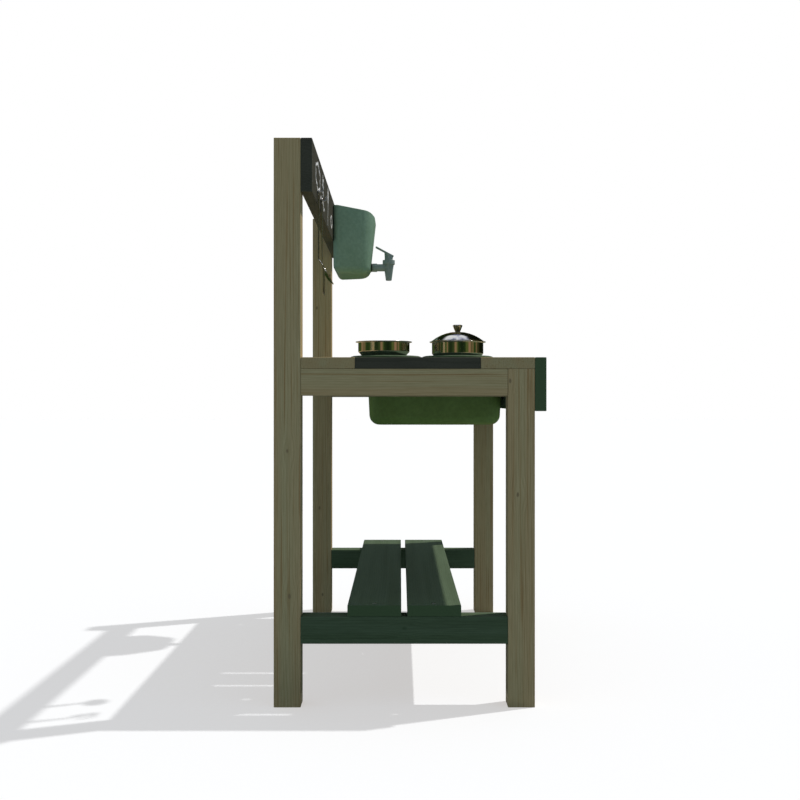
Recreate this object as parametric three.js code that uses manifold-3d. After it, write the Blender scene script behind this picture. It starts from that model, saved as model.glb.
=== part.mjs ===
// A mud kitchen: a child's outdoor play kitchen of planed pine, with a slatted worktop, two hob plates,
// a lift-out sink, a shelf, and a chalkboard beam that carries a water tank with a tap, and two utensils.
//
// Units are millimetres. X runs along the worktop, Y from the front to the back, and Z up.
// The origin is on the ground under the middle of the whole kitchen.

import * as THREE from "three";
import { mergeVertices } from "three/addons/utils/BufferGeometryUtils.js";
import Module from "manifold-3d";

const wasm = await Module();
wasm.setup();

// Overall sizes
const overallLength = 950;
const overallDepth = 455;
const overallHeight = 950;
const worktopHeight = 584;

// Timber sections, as a timber yard planes them
const postSize = 45;
const boardWidth = 90;
const boardThickness = 19;
const battenWidth = 45;
const timberEdge = 2;
const timberEndBevel = 1;

// Gaps
const fitGap = 0.3;
const slatGap = 10;
const shelfGap = 10;
const overrun = 5;
const weldTolerance = 0.0001;

// Lower rails and worktop layout
const shelfRailHeight = 106;
const hobSlatCount = 4;
const sinkStripWidth = 60;
const bearerOverlap = 22.5;

// Screws
const woodScrew = { length: 42, tip: 7, shankRadius: 2, headRadius: 4, headHeight: 2.8, headLip: 0.6 };
const plateScrew = { length: 24, tip: 6, shankRadius: 1.8, headRadius: 3.6, headHeight: 2.4, headLip: 0.5 };
const wallScrew = { length: 17, tip: 5, shankRadius: 2, headRadius: 5, headHeight: 3, headLip: 2.6 };
const screwClearance = 0.3;
const screwSink = 0.3;
const driveRadius = 1.5;
const driveDepth = 1.6;
const screwHeightShares = [0.25, 0.75];

// Hob plates
const hobPlateDiameter = 128;
const hobPlateHeight = 7.6;
const hobPlateEdgeHeight = 6;
const hobPlateBevel = 9;
const hobPlateSpacing = 130;
const hobPlateSlatShare = 5 / 6;

// Pans
const panDiameter = 93;
const panRimWidth = 4.5;
const panHeight = 26;
const panWall = 1.4;
const panRimThickness = 1.6;
const fryingPanFoot = { inset: 9.5, height: 8 };
const saucepanFoot = { inset: 3.5, height: 4 };
const fryingPanOffset = 3.5;
const panHandle = {
  width: 14, thickness: 2.2, tabHeight: 11, reach: 86, rise: 8, shoulder: 9, below: 3, holeRadius: 2.5,
};

// Saucepan lid and its knob
const lidOverlap = 0.5;
const lidHeight = 16.5;
const lidWall = 1.2;
const lidLip = 1.2;
const lidSpigot = { clearance: 1.2, depth: 4 };
const knob = { footRadius: 5, footHeight: 1.5, neckRadius: 3.6, topRadius: 8.8, lip: 2, height: 13.3 };
const knobScrew = { radius: 1.4, headRadius: 3.4, headHeight: 1.8, bite: 8 };

// Sink tub
const sinkClearance = 4;
const sinkDepth = 125;
const sinkWall = 3;
const sinkDraft = 6;
const sinkCornerRadius = 38;
const sinkFillet = 20;
const sinkFlangeWidth = 10;
const sinkFlangeThickness = 3;

// Water tank
const tankWidth = 216;
const tankFrontWidth = 152;
const tankDepth = 90.5;
const tankHeight = 146;
const tankWall = 2.5;
const tankBelowBeamTop = 12;
const tankDraftShare = 0.089;
const tankBackRadius = 22;
const tankFrontRadius = 32;
const tankFillet = 16;
const tankRimLevel = 20;
const tankRimDrop = 12;
const tankNose = { depth: 19.5, radius: 26 };
const tankScrewSpacing = 100;
const tankScrewDrop = 38;

// Tap
const tapDrop = 126;
const tapBoss = { radius: 11, outside: 0.5, inside: 3.5 };
const tapReach = 39.5;
const tapPipeRadius = 8.2;
const tapCollar = { radius: 9.5, length: 11 };
const tapWasher = { radius: 9.5, thickness: 2 };
const tapStub = { radius: 6.5, boreRadius: 4.2, clearance: 0.4, beyondNut: 3 };
const tapNut = { radius: 12, thickness: 6 };
const tapBarrel = {
  below: 29, footRadius: 6.5, shoulder: 7, shoulderRadius: 11.4, top: 17, topRadius: 12.4,
};
const tapSeat = { bottom: 22, bottomRadius: 5.3, topRadius: 8, outletRadius: 4 };
const tapPlug = { clearance: 0.3, boreRadius: 3, boreAbove: 4, neckRadius: 8.7 };
const tapLever = {
  width: 13, thickness: 2.6, front: 10.6, frontRise: 25.6, back: 29.5, backRise: 47, tipRadius: 5,
};

// Hooks and utensils
const hookFromEnd = 121;
const hookSpacing = 95;
const hookBelowBeamTop = 70;
const hook = {
  wireRadius: 1.5, inWood: 14, reach: 10, rise: 9, bend: 3.5, collarRadius: 4, collarThickness: 0.7,
};
const utensilClearance = 0.4;
const utensil = { thickness: 2, topHalf: 6.5, neckHalf: 4, holeRadius: 3, above: 7, handle: 118 };
const turner = { halfWidth: 20, shoulder: 12, length: 182, forward: 9, bend: 14, corner: 6, steel: 1.6 };
const turnerSlot = { halfWidth: 2, spacing: 11, fromTip: 13, fromShoulder: 6 };
const spoon = { halfWidth: 22, halfLength: 21, depth: 5, steel: 1.6, tiltDegrees: 34 };

// How finely round shapes are cut
const cornerSteps = 2;
const plasticCornerSteps = 7;
const filletSteps = 4;
const screwSides = 10;
const hexSides = 6;
const wireSides = 8;
const wireSteps = 12;
const smallSides = 20;
const bowlSides = 36;
const panSides = 48;
const domeSteps = 6;

// Finishes
function finish(color, roughness, metalness) {
  return new THREE.MeshStandardMaterial({ color, roughness, metalness });
}
const pine = finish("#b3966a", 0.8, 0);
const greenStain = finish("#2f5540", 0.75, 0);
const blackboardPaint = finish("#23282a", 0.85, 0);
const sagePlastic = finish("#6d9880", 0.5, 0);
const greenPlastic = finish("#47703f", 0.45, 0);
const greyPlastic = finish("#4b5658", 0.45, 0);
const rubber = finish("#1d1d1d", 0.9, 0);
const stainless = finish("#c6c8c9", 0.15, 1);
const zinc = finish("#b7b9bb", 0.35, 1);

// Faces of the kitchen that several pieces share
const xLeft = -overallLength / 2;
const xRight = overallLength / 2;
const yFront = -overallDepth / 2;
const yBack = overallDepth / 2;
const legFront = yFront + boardThickness + fitGap;
const legBack = legFront + postSize;
const postFront = yBack - postSize;
const boardBack = postFront - fitGap;
const beamFront = boardBack - boardThickness;
const worktopUnderside = worktopHeight - boardThickness;
const railTop = worktopUnderside - fitGap;
const shelfRailTop = shelfRailHeight + postSize;
const apronUnderside = worktopHeight - boardWidth;
const beamUnderside = overallHeight - boardWidth;
const backBoardFront = boardBack - boardWidth;
const frontBoardBack = legFront + boardWidth;

// The worktop along X: slats from the left end, a strip, the sink hole and a strip at the right end
const slatPitch = boardWidth + slatGap;
const stripLeft = xLeft + (hobSlatCount + 1) * slatPitch;
const sinkHoleLeft = stripLeft + sinkStripWidth;
const sinkHoleRight = xRight - sinkStripWidth;
const sinkHoleBack = backBoardFront - fitGap;
const sinkCentreX = (sinkHoleLeft + sinkHoleRight) / 2;
const sinkCentreY = (legFront + sinkHoleBack) / 2;
const worktopCentreY = (yFront + postFront) / 2;
const hobCentreX = xLeft + slatPitch + boardWidth * hobPlateSlatShare;

// Boolean joins and cuts
function toSolid(geometry) {
  const bare = geometry.index ? geometry.toNonIndexed() : geometry.clone();
  bare.deleteAttribute("normal");
  bare.deleteAttribute("uv");
  const merged = mergeVertices(bare, weldTolerance);
  return new wasm.Manifold(
    new wasm.Mesh({
      numProp: 3,
      vertProperties: merged.attributes.position.array,
      triVerts: new Uint32Array(merged.index.array),
    }),
  );
}

function toGeometry(solid) {
  const mesh = solid.getMesh();
  const shared = new THREE.BufferGeometry();
  shared.setAttribute("position", new THREE.BufferAttribute(mesh.vertProperties, mesh.numProp));
  shared.setIndex(new THREE.BufferAttribute(mesh.triVerts, 1));
  const geometry = shared.toNonIndexed();
  geometry.computeVertexNormals();
  return geometry;
}

function join(...geometries) {
  return toGeometry(geometries.map(toSolid).reduce((whole, next) => whole.add(next)));
}

function cut(geometry, ...tools) {
  return toGeometry(tools.map(toSolid).reduce((left, tool) => left.subtract(tool), toSolid(geometry)));
}

function common(first, second) {
  return toGeometry(toSolid(first).intersect(toSolid(second)));
}

// Shapes
function turned(profile, sides) {
  const points = profile.map(([radius, height]) => new THREE.Vector2(radius, height));
  return new THREE.LatheGeometry(points, sides).rotateX(Math.PI / 2);
}

// A cylinder along Z, and one along Y
function pin(radius, from, to, sides = smallSides) {
  return turned([[0, from], [radius, from], [radius, to], [0, to]], sides);
}

function rod(radius, from, to, sides = smallSides) {
  return pin(radius, from, to, sides).rotateX(-Math.PI / 2);
}

function arc(centreX, centreY, radius, from, to, steps) {
  return Array.from({ length: steps + 1 }, (_, i) => {
    const angle = from + ((to - from) * i) / steps;
    return [centreX + radius * Math.cos(angle), centreY + radius * Math.sin(angle)];
  });
}

// A convex outline, counter-clockwise, whose corners are rounded, each by its own radius.
function roundedOutline(corners, radii, steps) {
  const points = corners.map(([x, y]) => new THREE.Vector2(x, y));
  return points.flatMap((corner, i) => {
    const toBefore = points.at(i - 1).clone().sub(corner).normalize();
    const toAfter = points[(i + 1) % points.length].clone().sub(corner).normalize();
    const halfAngle = Math.acos(toBefore.dot(toAfter)) / 2;
    const inward = toBefore.clone().add(toAfter).normalize();
    const centre = corner.clone().addScaledVector(inward, radii[i] / Math.sin(halfAngle));
    const start = corner.clone().addScaledVector(toBefore, radii[i] / Math.tan(halfAngle)).sub(centre);
    return arc(centre.x, centre.y, radii[i], start.angle(), start.angle() + Math.PI - 2 * halfAngle, steps);
  });
}

function rectangleCorners(halfX, halfY) {
  return [[-halfX, -halfY], [halfX, -halfY], [halfX, halfY], [-halfX, halfY]];
}

function shapeOf(points) {
  return new THREE.Shape(points.map(([x, y]) => new THREE.Vector2(x, y)));
}

// The side outline of a strip of one thickness, bent along a line of points.
function stripOutline(line, thickness) {
  const points = line.map(([x, y]) => new THREE.Vector2(x, y));
  const sides = points.map((point, i) => {
    const before = points[Math.max(i - 1, 0)];
    const after = points[Math.min(i + 1, points.length - 1)];
    const into = point.clone().sub(before).normalize();
    const out = after.clone().sub(point).normalize();
    const along = into.clone().add(out).normalize();
    const slant = Math.max(into.dot(along), out.dot(along));
    const offset = new THREE.Vector2(-along.y, along.x).multiplyScalar(thickness / 2 / slant);
    return [point.clone().add(offset), point.clone().sub(offset)];
  });
  return new THREE.Shape([...sides.map(([left]) => left), ...sides.map(([, right]) => right).reverse()]);
}

// An outline drawn as seen from above (X, Y), from the front (X, Z) or from the side (Y, Z),
// and extruded by a depth, half to each side of the plane that it is drawn on.
const axisX = new THREE.Vector3(1, 0, 0);
const axisY = new THREE.Vector3(0, 1, 0);
const axisZ = new THREE.Vector3(0, 0, 1);
const views = {
  top: new THREE.Matrix4(),
  front: new THREE.Matrix4().makeBasis(axisX, axisZ, axisY.clone().negate()),
  side: new THREE.Matrix4().makeBasis(axisY, axisZ, axisX),
};
function extruded(shape, depth, view) {
  const options = { depth, bevelEnabled: false, curveSegments: plasticCornerSteps };
  const geometry = new THREE.ExtrudeGeometry(shape, options);
  return geometry.translate(0, 0, -depth / 2).applyMatrix4(views[view]);
}

// A closed skin through rings of points, which all have the same number of points.
function loft(rings) {
  const size = rings[0].length;
  const positions = rings.flat(2);
  const last = (rings.length - 1) * size;
  const middles = [rings[0], rings.at(-1)].map((ring) =>
    [0, 1, 2].map((axis) => ring.reduce((sum, point) => sum + point[axis], 0) / size),
  );
  positions.push(...middles.flat());
  const index = [];
  for (let i = 0; i < size; i++) {
    const next = (i + 1) % size;
    for (let low = 0; low < last; low += size) {
      const high = low + size;
      index.push(low + i, low + next, high + next, low + i, high + next, high + i);
    }
    index.push(last + size, next, i, last + size + 1, last + i, last + next);
  }
  const geometry = new THREE.BufferGeometry();
  geometry.setAttribute("position", new THREE.BufferAttribute(new Float32Array(positions), 3));
  geometry.setIndex(index);
  geometry.computeVertexNormals();
  return geometry;
}

// Steps round the foot of a tub: how far each ring is set in, and how high it is above the foot.
function filletLevels(radius) {
  const points = arc(radius, radius, radius, -Math.PI / 2, -Math.PI, filletSteps);
  return points.map(([inset, rise]) => ({ inset, rise }));
}

// Scene graph
const kitchen = new THREE.Group();

function group(parent, x, y, z) {
  const made = new THREE.Group();
  made.position.set(x, y, z);
  parent.add(made);
  return made;
}

function add(parent, name, geometry, material, position = [0, 0, 0]) {
  const mesh = new THREE.Mesh(geometry, material);
  mesh.name = name;
  mesh.position.set(...position);
  parent.add(mesh);
  return mesh;
}

// A planed timber that runs along one axis and fills three spans, each a low and a high value.
function timberGeometry(along, [sizeX, sizeY, sizeZ]) {
  const sizes = { x: [sizeZ, sizeY, sizeX], y: [sizeX, sizeZ, sizeY], z: [sizeX, sizeY, sizeZ] };
  const [width, height, length] = sizes[along];
  const corners = rectangleCorners(width / 2, height / 2);
  const outline = shapeOf(roundedOutline(corners, corners.map(() => timberEdge), cornerSteps));
  const depth = length - 2 * timberEndBevel;
  const geometry = new THREE.ExtrudeGeometry(outline, {
    depth,
    bevelThickness: timberEndBevel,
    bevelSize: timberEndBevel,
    bevelOffset: -timberEndBevel,
    bevelSegments: 1,
  });
  geometry.translate(0, 0, -depth / 2);
  if (along === "x") geometry.rotateY(Math.PI / 2);
  if (along === "y") geometry.rotateX(-Math.PI / 2);
  return geometry;
}

function timber(parent, name, material, along, spanX, spanY, spanZ) {
  const spans = [spanX, spanY, spanZ];
  const size = spans.map(([low, high]) => high - low);
  const centre = spans.map(([low, high]) => (low + high) / 2);
  return add(parent, name, timberGeometry(along, size), material, centre);
}

function span(low, length) {
  return [low, low + length];
}

// Frame: two back posts, two front legs, and an upper and a lower rail at each end
const frame = group(kitchen, 0, 0, 0);
const ends = { left: span(xLeft, postSize), right: span(xRight - postSize, postSize) };
const postSpanY = span(postFront, postSize);
const legSpanY = span(legFront, postSize);
const railSpanY = [legBack + fitGap, postFront - fitGap];
const posts = {};
const legs = {};
const lowerRails = {};
const wholeSpanX = [xLeft, xRight];
const upperRailSpanZ = span(railTop - postSize, postSize);
const lowerRailSpanZ = span(shelfRailHeight, postSize);
for (const [end, endSpan] of Object.entries(ends)) {
  posts[end] = timber(frame, `back_post_${end}`, pine, "z", endSpan, postSpanY, [0, overallHeight]);
  legs[end] = timber(frame, `front_leg_${end}`, pine, "z", endSpan, legSpanY, [0, railTop]);
  timber(frame, `upper_side_rail_${end}`, pine, "y", endSpan, railSpanY, upperRailSpanZ);
  const lowerRailName = `lower_side_rail_${end}`;
  lowerRails[end] = timber(frame, lowerRailName, greenStain, "y", endSpan, railSpanY, lowerRailSpanZ);
}
const apronSpanY = span(yFront, boardThickness);
const apronSpanZ = [apronUnderside, worktopHeight];
const apron = timber(frame, "front_apron", greenStain, "x", wholeSpanX, apronSpanY, apronSpanZ);
const beamSpanY = [beamFront, boardBack];
const beamSpanZ = [beamUnderside, overallHeight];
const beam = timber(frame, "chalkboard_beam", blackboardPaint, "x", wholeSpanX, beamSpanY, beamSpanZ);

// Shelf: two boards on the lower rails, either side of the rails' middle
const shelf = group(kitchen, 0, (railSpanY[0] + railSpanY[1]) / 2, shelfRailTop + fitGap);
const boardSpanZ = [0, boardThickness];
const shelfBoards = {};
for (const [side, low] of [["front", -shelfGap / 2 - boardWidth], ["back", shelfGap / 2]]) {
  const name = `shelf_board_${side}`;
  shelfBoards[side] = timber(shelf, name, greenStain, "x", wholeSpanX, span(low, boardWidth), boardSpanZ);
}

// Worktop: a board along the back and the front, slats between them, and a strip on each side of the sink
const worktop = group(kitchen, 0, 0, worktopUnderside);
const slatSpanY = [frontBoardBack + fitGap, backBoardFront - fitGap];
const stripSpanY = [legFront, backBoardFront - fitGap];
const frontBoardSpanX = [xLeft, stripLeft - fitGap];
const slatSpanX = (i) => span(xLeft + i * slatPitch, boardWidth);
const backBoardSpanY = [backBoardFront, boardBack];
const frontBoardSpanY = [legFront, frontBoardBack];
const worktopBoards = {
  back: timber(worktop, "worktop_back_board", pine, "x", wholeSpanX, backBoardSpanY, boardSpanZ),
  front: timber(worktop, "worktop_front_board", pine, "x", frontBoardSpanX, frontBoardSpanY, boardSpanZ),
};
const hobSlats = Array.from({ length: hobSlatCount }, (_, i) =>
  timber(worktop, `hob_slat_${i + 1}`, blackboardPaint, "y", slatSpanX(i), slatSpanY, boardSpanZ),
);
timber(worktop, "worktop_middle_slat", pine, "y", slatSpanX(hobSlatCount), slatSpanY, boardSpanZ);
timber(worktop, "sink_strip_left", pine, "y", span(stripLeft, sinkStripWidth), stripSpanY, boardSpanZ);
timber(worktop, "sink_strip_right", pine, "y", span(sinkHoleRight, sinkStripWidth), stripSpanY, boardSpanZ);

// Under the worktop: a bearer where the front board meets the strip, and a batten below the slats' ends
const bearerLeft = stripLeft - bearerOverlap;
const bearerSpanX = span(bearerLeft, postSize);
const bearerSpanZ = [-fitGap - postSize, -fitGap];
timber(worktop, "worktop_bearer", pine, "y", bearerSpanX, [legFront, boardBack], bearerSpanZ);
const battenSpanX = [ends.left[1] + fitGap, bearerLeft - fitGap];
const battenSpanZ = [-fitGap - boardThickness, -fitGap];
for (const [side, joint] of [["front", frontBoardBack], ["back", backBoardFront]]) {
  const battenSpanY = span(joint - battenWidth / 2, battenWidth);
  timber(worktop, `slat_batten_${side}`, pine, "x", battenSpanX, battenSpanY, battenSpanZ);
}

// Sink: a tub with a flange that rests on the worktop round its hole
function sinkRing(halfX, halfY, radius, z) {
  const corners = rectangleCorners(halfX, halfY);
  return roundedOutline(corners, corners.map(() => radius), plasticCornerSteps).map(([x, y]) => [x, y, z]);
}

function sinkGeometry() {
  const topHalfX = (sinkHoleRight - sinkHoleLeft) / 2 - sinkClearance;
  const topHalfY = (sinkHoleBack - legFront) / 2 - sinkClearance;
  const wallLevels = (set, foot, fillet) =>
    filletLevels(fillet).map(({ inset, rise }) => {
      const z = foot + rise;
      const drawnIn = set + inset - (sinkDraft * z) / sinkDepth;
      return sinkRing(topHalfX - drawnIn, topHalfY - drawnIn, sinkCornerRadius - set - inset, z);
    });
  const flange = (outward, z) =>
    sinkRing(topHalfX + outward, topHalfY + outward, sinkCornerRadius + outward, z);
  return loft([
    ...wallLevels(0, -sinkDepth, sinkFillet),
    flange(0, 0),
    flange(sinkFlangeWidth, 0),
    flange(sinkFlangeWidth, sinkFlangeThickness),
    flange(-sinkWall, sinkFlangeThickness),
    ...wallLevels(sinkWall, sinkWall - sinkDepth, sinkFillet - sinkWall).reverse(),
  ]);
}
const sink = group(kitchen, sinkCentreX, sinkCentreY, worktopHeight + fitGap);
add(sink, "sink_tub", sinkGeometry(), greenPlastic);

// Hob plates: turned discs with a shallow bevel, each held by one screw under its pan
const hob = group(kitchen, hobCentreX, worktopCentreY, worktopHeight + fitGap);
function hobPlateGeometry() {
  const radius = hobPlateDiameter / 2;
  const profile = [
    [0, 0],
    [radius, 0],
    [radius, hobPlateEdgeHeight],
    [radius - hobPlateBevel, hobPlateHeight],
    [0, hobPlateHeight],
  ];
  return turned(profile, panSides);
}
const hobPlates = {
  back: add(hob, "hob_plate_back", hobPlateGeometry(), greenStain, [0, hobPlateSpacing / 2, 0]),
  front: add(hob, "hob_plate_front", hobPlateGeometry(), greenStain, [0, -hobPlateSpacing / 2, 0]),
};

// Pans: pressed steel with a flat rim, and a strap handle that runs along the worktop
function panGeometry(foot) {
  const radius = panDiameter / 2;
  const footRadius = radius - foot.inset;
  const rimRadius = radius + panRimWidth;
  const profile = [
    [0, 0],
    [footRadius, 0],
    [radius, foot.height],
    [radius, panHeight - panRimThickness],
    [rimRadius, panHeight - panRimThickness],
    [rimRadius, panHeight],
    [radius - panWall, panHeight],
    [radius - panWall, foot.height + panWall / 2],
    [footRadius - panWall / 2, panWall],
    [0, panWall],
  ];
  return turned(profile, panSides);
}

function panHandleGeometry() {
  const start = panDiameter / 2 + fitGap + panHandle.thickness / 2;
  const bendHeight = panHeight - panRimThickness - panHandle.below;
  const end = start + panHandle.reach;
  const line = [
    [start, bendHeight - panHandle.tabHeight],
    [start, bendHeight],
    [start + panHandle.shoulder, bendHeight],
    [end, bendHeight + panHandle.rise],
  ];
  const side = extruded(stripOutline(line, panHandle.thickness), panHandle.width + 2 * overrun, "front");
  const half = panHandle.width / 2;
  const plan = shapeOf([
    [start - panHandle.thickness, -half],
    ...arc(end - half, 0, half, -Math.PI / 2, Math.PI / 2, plasticCornerSteps),
    [start - panHandle.thickness, half],
  ]);
  const hole = new THREE.Path().absarc(end - half, 0, panHandle.holeRadius, 0, 2 * Math.PI);
  plan.holes.push(hole);
  return common(side, extruded(plan, 2 * (panHeight + panHandle.rise + overrun), "top"));
}

function pan(name, foot, y) {
  const made = group(hob, 0, y, hobPlateHeight + fitGap);
  add(made, name, panGeometry(foot), stainless);
  add(made, `${name}_handle`, panHandleGeometry(), stainless);
  return made;
}
pan("frying_pan", fryingPanFoot, hobPlateSpacing / 2 + fryingPanOffset);
const saucepan = pan("saucepan", saucepanFoot, -hobPlateSpacing / 2);

// Lid: a pressed dome with a spigot that drops inside the saucepan, and a knob held by a screw from below
function lidGeometry() {
  const radius = panDiameter / 2 + lidOverlap;
  const holeRadius = knobScrew.radius + fitGap;
  const spigotRadius = panDiameter / 2 - panWall - lidSpigot.clearance;
  const dome = lidHeight - lidLip;
  const sphere = (spigotRadius ** 2 + dome ** 2) / (2 * dome);
  const rim = Math.PI / 2 - Math.asin(spigotRadius / sphere);
  const skin = (inset) => {
    const hole = Math.acos(holeRadius / (sphere - inset));
    return arc(0, lidHeight - sphere, sphere - inset, rim, hole, domeSteps);
  };
  const profile = [
    [spigotRadius - lidWall, -lidSpigot.depth],
    [spigotRadius, -lidSpigot.depth],
    [spigotRadius, 0],
    [radius, 0],
    [radius, lidLip],
    ...skin(0),
    ...skin(lidWall).reverse().slice(0, -1),
    [spigotRadius - lidWall, 0],
    [spigotRadius - lidWall, -lidSpigot.depth],
  ];
  return turned(profile, panSides);
}

function knobGeometry() {
  const body = turned(
    [
      [0, 0],
      [knob.footRadius, 0],
      [knob.footRadius, knob.footHeight],
      [knob.neckRadius, knob.footHeight * 2],
      [knob.topRadius, knob.height - knob.lip],
      [knob.topRadius, knob.height - knob.lip / 2],
      [knob.topRadius - knob.lip, knob.height],
      [0, knob.height],
    ],
    smallSides,
  );
  return cut(body, pin(knobScrew.radius + fitGap, -overrun, knobScrew.bite + fitGap));
}

function knobScrewGeometry() {
  const headTop = -fitGap - lidWall - fitGap;
  return turned(
    [
      [0, headTop - knobScrew.headHeight],
      [knobScrew.headRadius, headTop - knobScrew.headHeight],
      [knobScrew.headRadius, headTop],
      [knobScrew.radius, headTop],
      [knobScrew.radius, knobScrew.bite],
      [0, knobScrew.bite],
    ],
    smallSides,
  );
}
const lid = group(saucepan, 0, 0, panHeight + fitGap);
add(lid, "saucepan_lid", lidGeometry(), stainless);
const knobGroup = group(lid, 0, 0, lidHeight + fitGap);
add(knobGroup, "lid_knob", knobGeometry(), stainless);
add(knobGroup, "lid_knob_screw", knobScrewGeometry(), zinc);

// Water tank: a tapered bucket with a flat back, screwed to the beam through its back wall
function tankRing(drop, inset, heightAt) {
  const taper = tankDraftShare * drop;
  const halfBack = tankWidth / 2 - taper;
  const halfFront = tankFrontWidth / 2 - taper;
  const depth = tankDepth - taper;
  const slope = (halfBack - halfFront) / depth;
  const slant = Math.hypot(1, slope);
  const insetBack = halfBack - (slope + slant) * inset;
  const insetFront = halfFront + (slope - slant) * inset;
  const corners = [
    [-insetBack, -inset],
    [-insetFront, inset - depth],
    [insetFront, inset - depth],
    [insetBack, -inset],
  ];
  const back = tankBackRadius - inset;
  const front = tankFrontRadius - inset;
  const outline = roundedOutline(corners, [back, front, front, back], plasticCornerSteps);
  return outline.map(([x, y]) => [x, y, heightAt(y)]);
}

// The rim is level behind, falls towards the front, and rounds off over the nose.
function tankRimHeight(y) {
  const pastLevel = Math.max(0, -y - tankRimLevel);
  const intoNose = Math.max(0, tankNose.depth - tankDepth - y);
  const fall = (tankRimDrop * pastLevel) / (tankDepth - tankRimLevel);
  return -fall - (tankNose.radius - Math.sqrt(tankNose.radius ** 2 - intoNose ** 2));
}

function tankGeometry(boss, hole) {
  const wallRings = (set, foot, fillet) =>
    filletLevels(fillet).map(({ inset, rise }) => tankRing(-foot - rise, set + inset, () => foot + rise));
  const shell = loft([
    ...wallRings(0, -tankHeight, tankFillet),
    tankRing(0, 0, tankRimHeight),
    tankRing(0, tankWall, tankRimHeight),
    ...wallRings(tankWall, tankWall - tankHeight, tankFillet - tankWall).reverse(),
  ]);
  return cut(join(shell, boss), hole);
}

function tankFrontAt(drop) {
  return tankDraftShare * drop - tankDepth;
}
const bossOuter = tankFrontAt(tapDrop - tapBoss.radius) - tapBoss.outside;
const bossInner = tankFrontAt(tapDrop + tapBoss.radius) + tankWall + tapBoss.inside;
const tankTop = overallHeight - tankBelowBeamTop;
const tank = group(kitchen, sinkCentreX, beamFront - fitGap, tankTop);

const tapHole = rod(tapStub.radius + tapStub.clearance, bossOuter - overrun, bossInner + overrun);
const waterTank = add(
  tank,
  "water_tank",
  tankGeometry(
    rod(tapBoss.radius, bossOuter, bossInner).translate(0, 0, -tapDrop),
    tapHole.translate(0, 0, -tapDrop),
  ),
  sagePlastic,
);

// Tap: its pipe runs along Y, through a washer and the tank's wall to a nut inside
const tap = group(tank, 0, bossOuter - fitGap, -tapDrop);
const tapFace = -tapWasher.thickness - fitGap;
const nutStart = bossInner - bossOuter + 2 * fitGap;
const nutEnd = nutStart + tapNut.thickness;

function tapBodyGeometry() {
  const stubEnd = nutEnd + tapStub.beyondNut;
  const barrel = turned(
    [
      [0, -tapBarrel.below],
      [tapBarrel.footRadius, -tapBarrel.below],
      [tapBarrel.shoulderRadius, tapBarrel.shoulder],
      [tapBarrel.topRadius, tapBarrel.shoulder],
      [tapBarrel.topRadius, tapBarrel.top],
      [0, tapBarrel.top],
    ],
    smallSides,
  );
  const seat = turned(
    [
      [0, -tapBarrel.below - overrun],
      [tapSeat.outletRadius, -tapBarrel.below - overrun],
      [tapSeat.outletRadius, -tapSeat.bottom],
      [tapSeat.bottomRadius, -tapSeat.bottom],
      [tapSeat.topRadius, tapBarrel.top],
      [tapSeat.topRadius, tapBarrel.top + overrun],
      [0, tapBarrel.top + overrun],
    ],
    smallSides,
  );
  const outside = join(
    barrel.translate(0, -tapReach, 0),
    rod(tapPipeRadius, -tapReach, tapFace),
    rod(tapCollar.radius, tapFace - tapCollar.length, tapFace),
    rod(tapStub.radius, -tapReach / 2, stubEnd),
  );
  return cut(
    outside,
    seat.translate(0, -tapReach, 0),
    rod(tapStub.boreRadius, -tapReach, stubEnd + overrun),
  );
}

function ringGeometry(outerRadius, outerSides, from, to) {
  const hole = rod(tapStub.radius + tapStub.clearance, from - overrun, to + overrun);
  return cut(rod(outerRadius, from, to, outerSides), hole);
}

// The plug turns in the tap's tapered seat. Its lever rises towards the tank.
function tapLeverGeometry() {
  const seatSlope = (tapSeat.topRadius - tapSeat.bottomRadius) / (tapBarrel.top + tapSeat.bottom);
  const plugFoot = -tapSeat.bottom + tapPlug.clearance;
  const plugRadiusAt = (z) => tapSeat.bottomRadius + seatSlope * (z + tapSeat.bottom) - tapPlug.clearance;
  const neckFoot = tapBarrel.top + tapPlug.clearance;
  const leverSlope = (tapLever.backRise - tapLever.frontRise) / (tapLever.back + tapLever.front);
  const leverHeightAt = (y) => tapLever.frontRise + leverSlope * (y + tapLever.front);
  const plug = turned(
    [
      [0, plugFoot],
      [plugRadiusAt(plugFoot), plugFoot],
      [plugRadiusAt(neckFoot), neckFoot],
      [tapPlug.neckRadius, neckFoot],
      [tapPlug.neckRadius, tapLever.backRise],
      [0, tapLever.backRise],
    ],
    smallSides,
  );
  const neckReach = tapPlug.neckRadius + overrun;
  const underLever = extruded(
    shapeOf([
      [-neckReach, plugFoot - overrun],
      [neckReach, plugFoot - overrun],
      [neckReach, leverHeightAt(neckReach)],
      [-neckReach, leverHeightAt(-neckReach)],
    ]),
    neckReach * 2,
    "side",
  );
  const leverLine = [[-tapLever.front, tapLever.frontRise], [tapLever.back, tapLever.backRise]];
  const leverOutline = stripOutline(leverLine, tapLever.thickness);
  const plate = extruded(leverOutline, tapLever.width + 2 * overrun, "side");
  const halfWidth = tapLever.width / 2;
  const pastFront = -tapLever.front - tapLever.tipRadius - overrun;
  const plan = [
    [-halfWidth, pastFront],
    [halfWidth, pastFront],
    [halfWidth, tapLever.back],
    [-halfWidth, tapLever.back],
  ];
  const planOutline = roundedOutline(plan, plan.map(() => tapLever.tipRadius), plasticCornerSteps);
  const paddle = common(plate, extruded(shapeOf(planOutline), 2 * (tapLever.backRise + overrun), "top"));
  const bore = pin(tapPlug.boreRadius, plugFoot - overrun, tapPlug.boreAbove);
  const port = rod(tapPlug.boreRadius, 0, tapSeat.topRadius + overrun).rotateZ(-Math.PI / 2);
  return cut(join(common(plug, underLever), paddle), bore, port);
}
add(tap, "tap_body", tapBodyGeometry(), greyPlastic);
add(tap, "tap_washer", ringGeometry(tapWasher.radius, smallSides, -tapWasher.thickness, 0), rubber);
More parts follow.
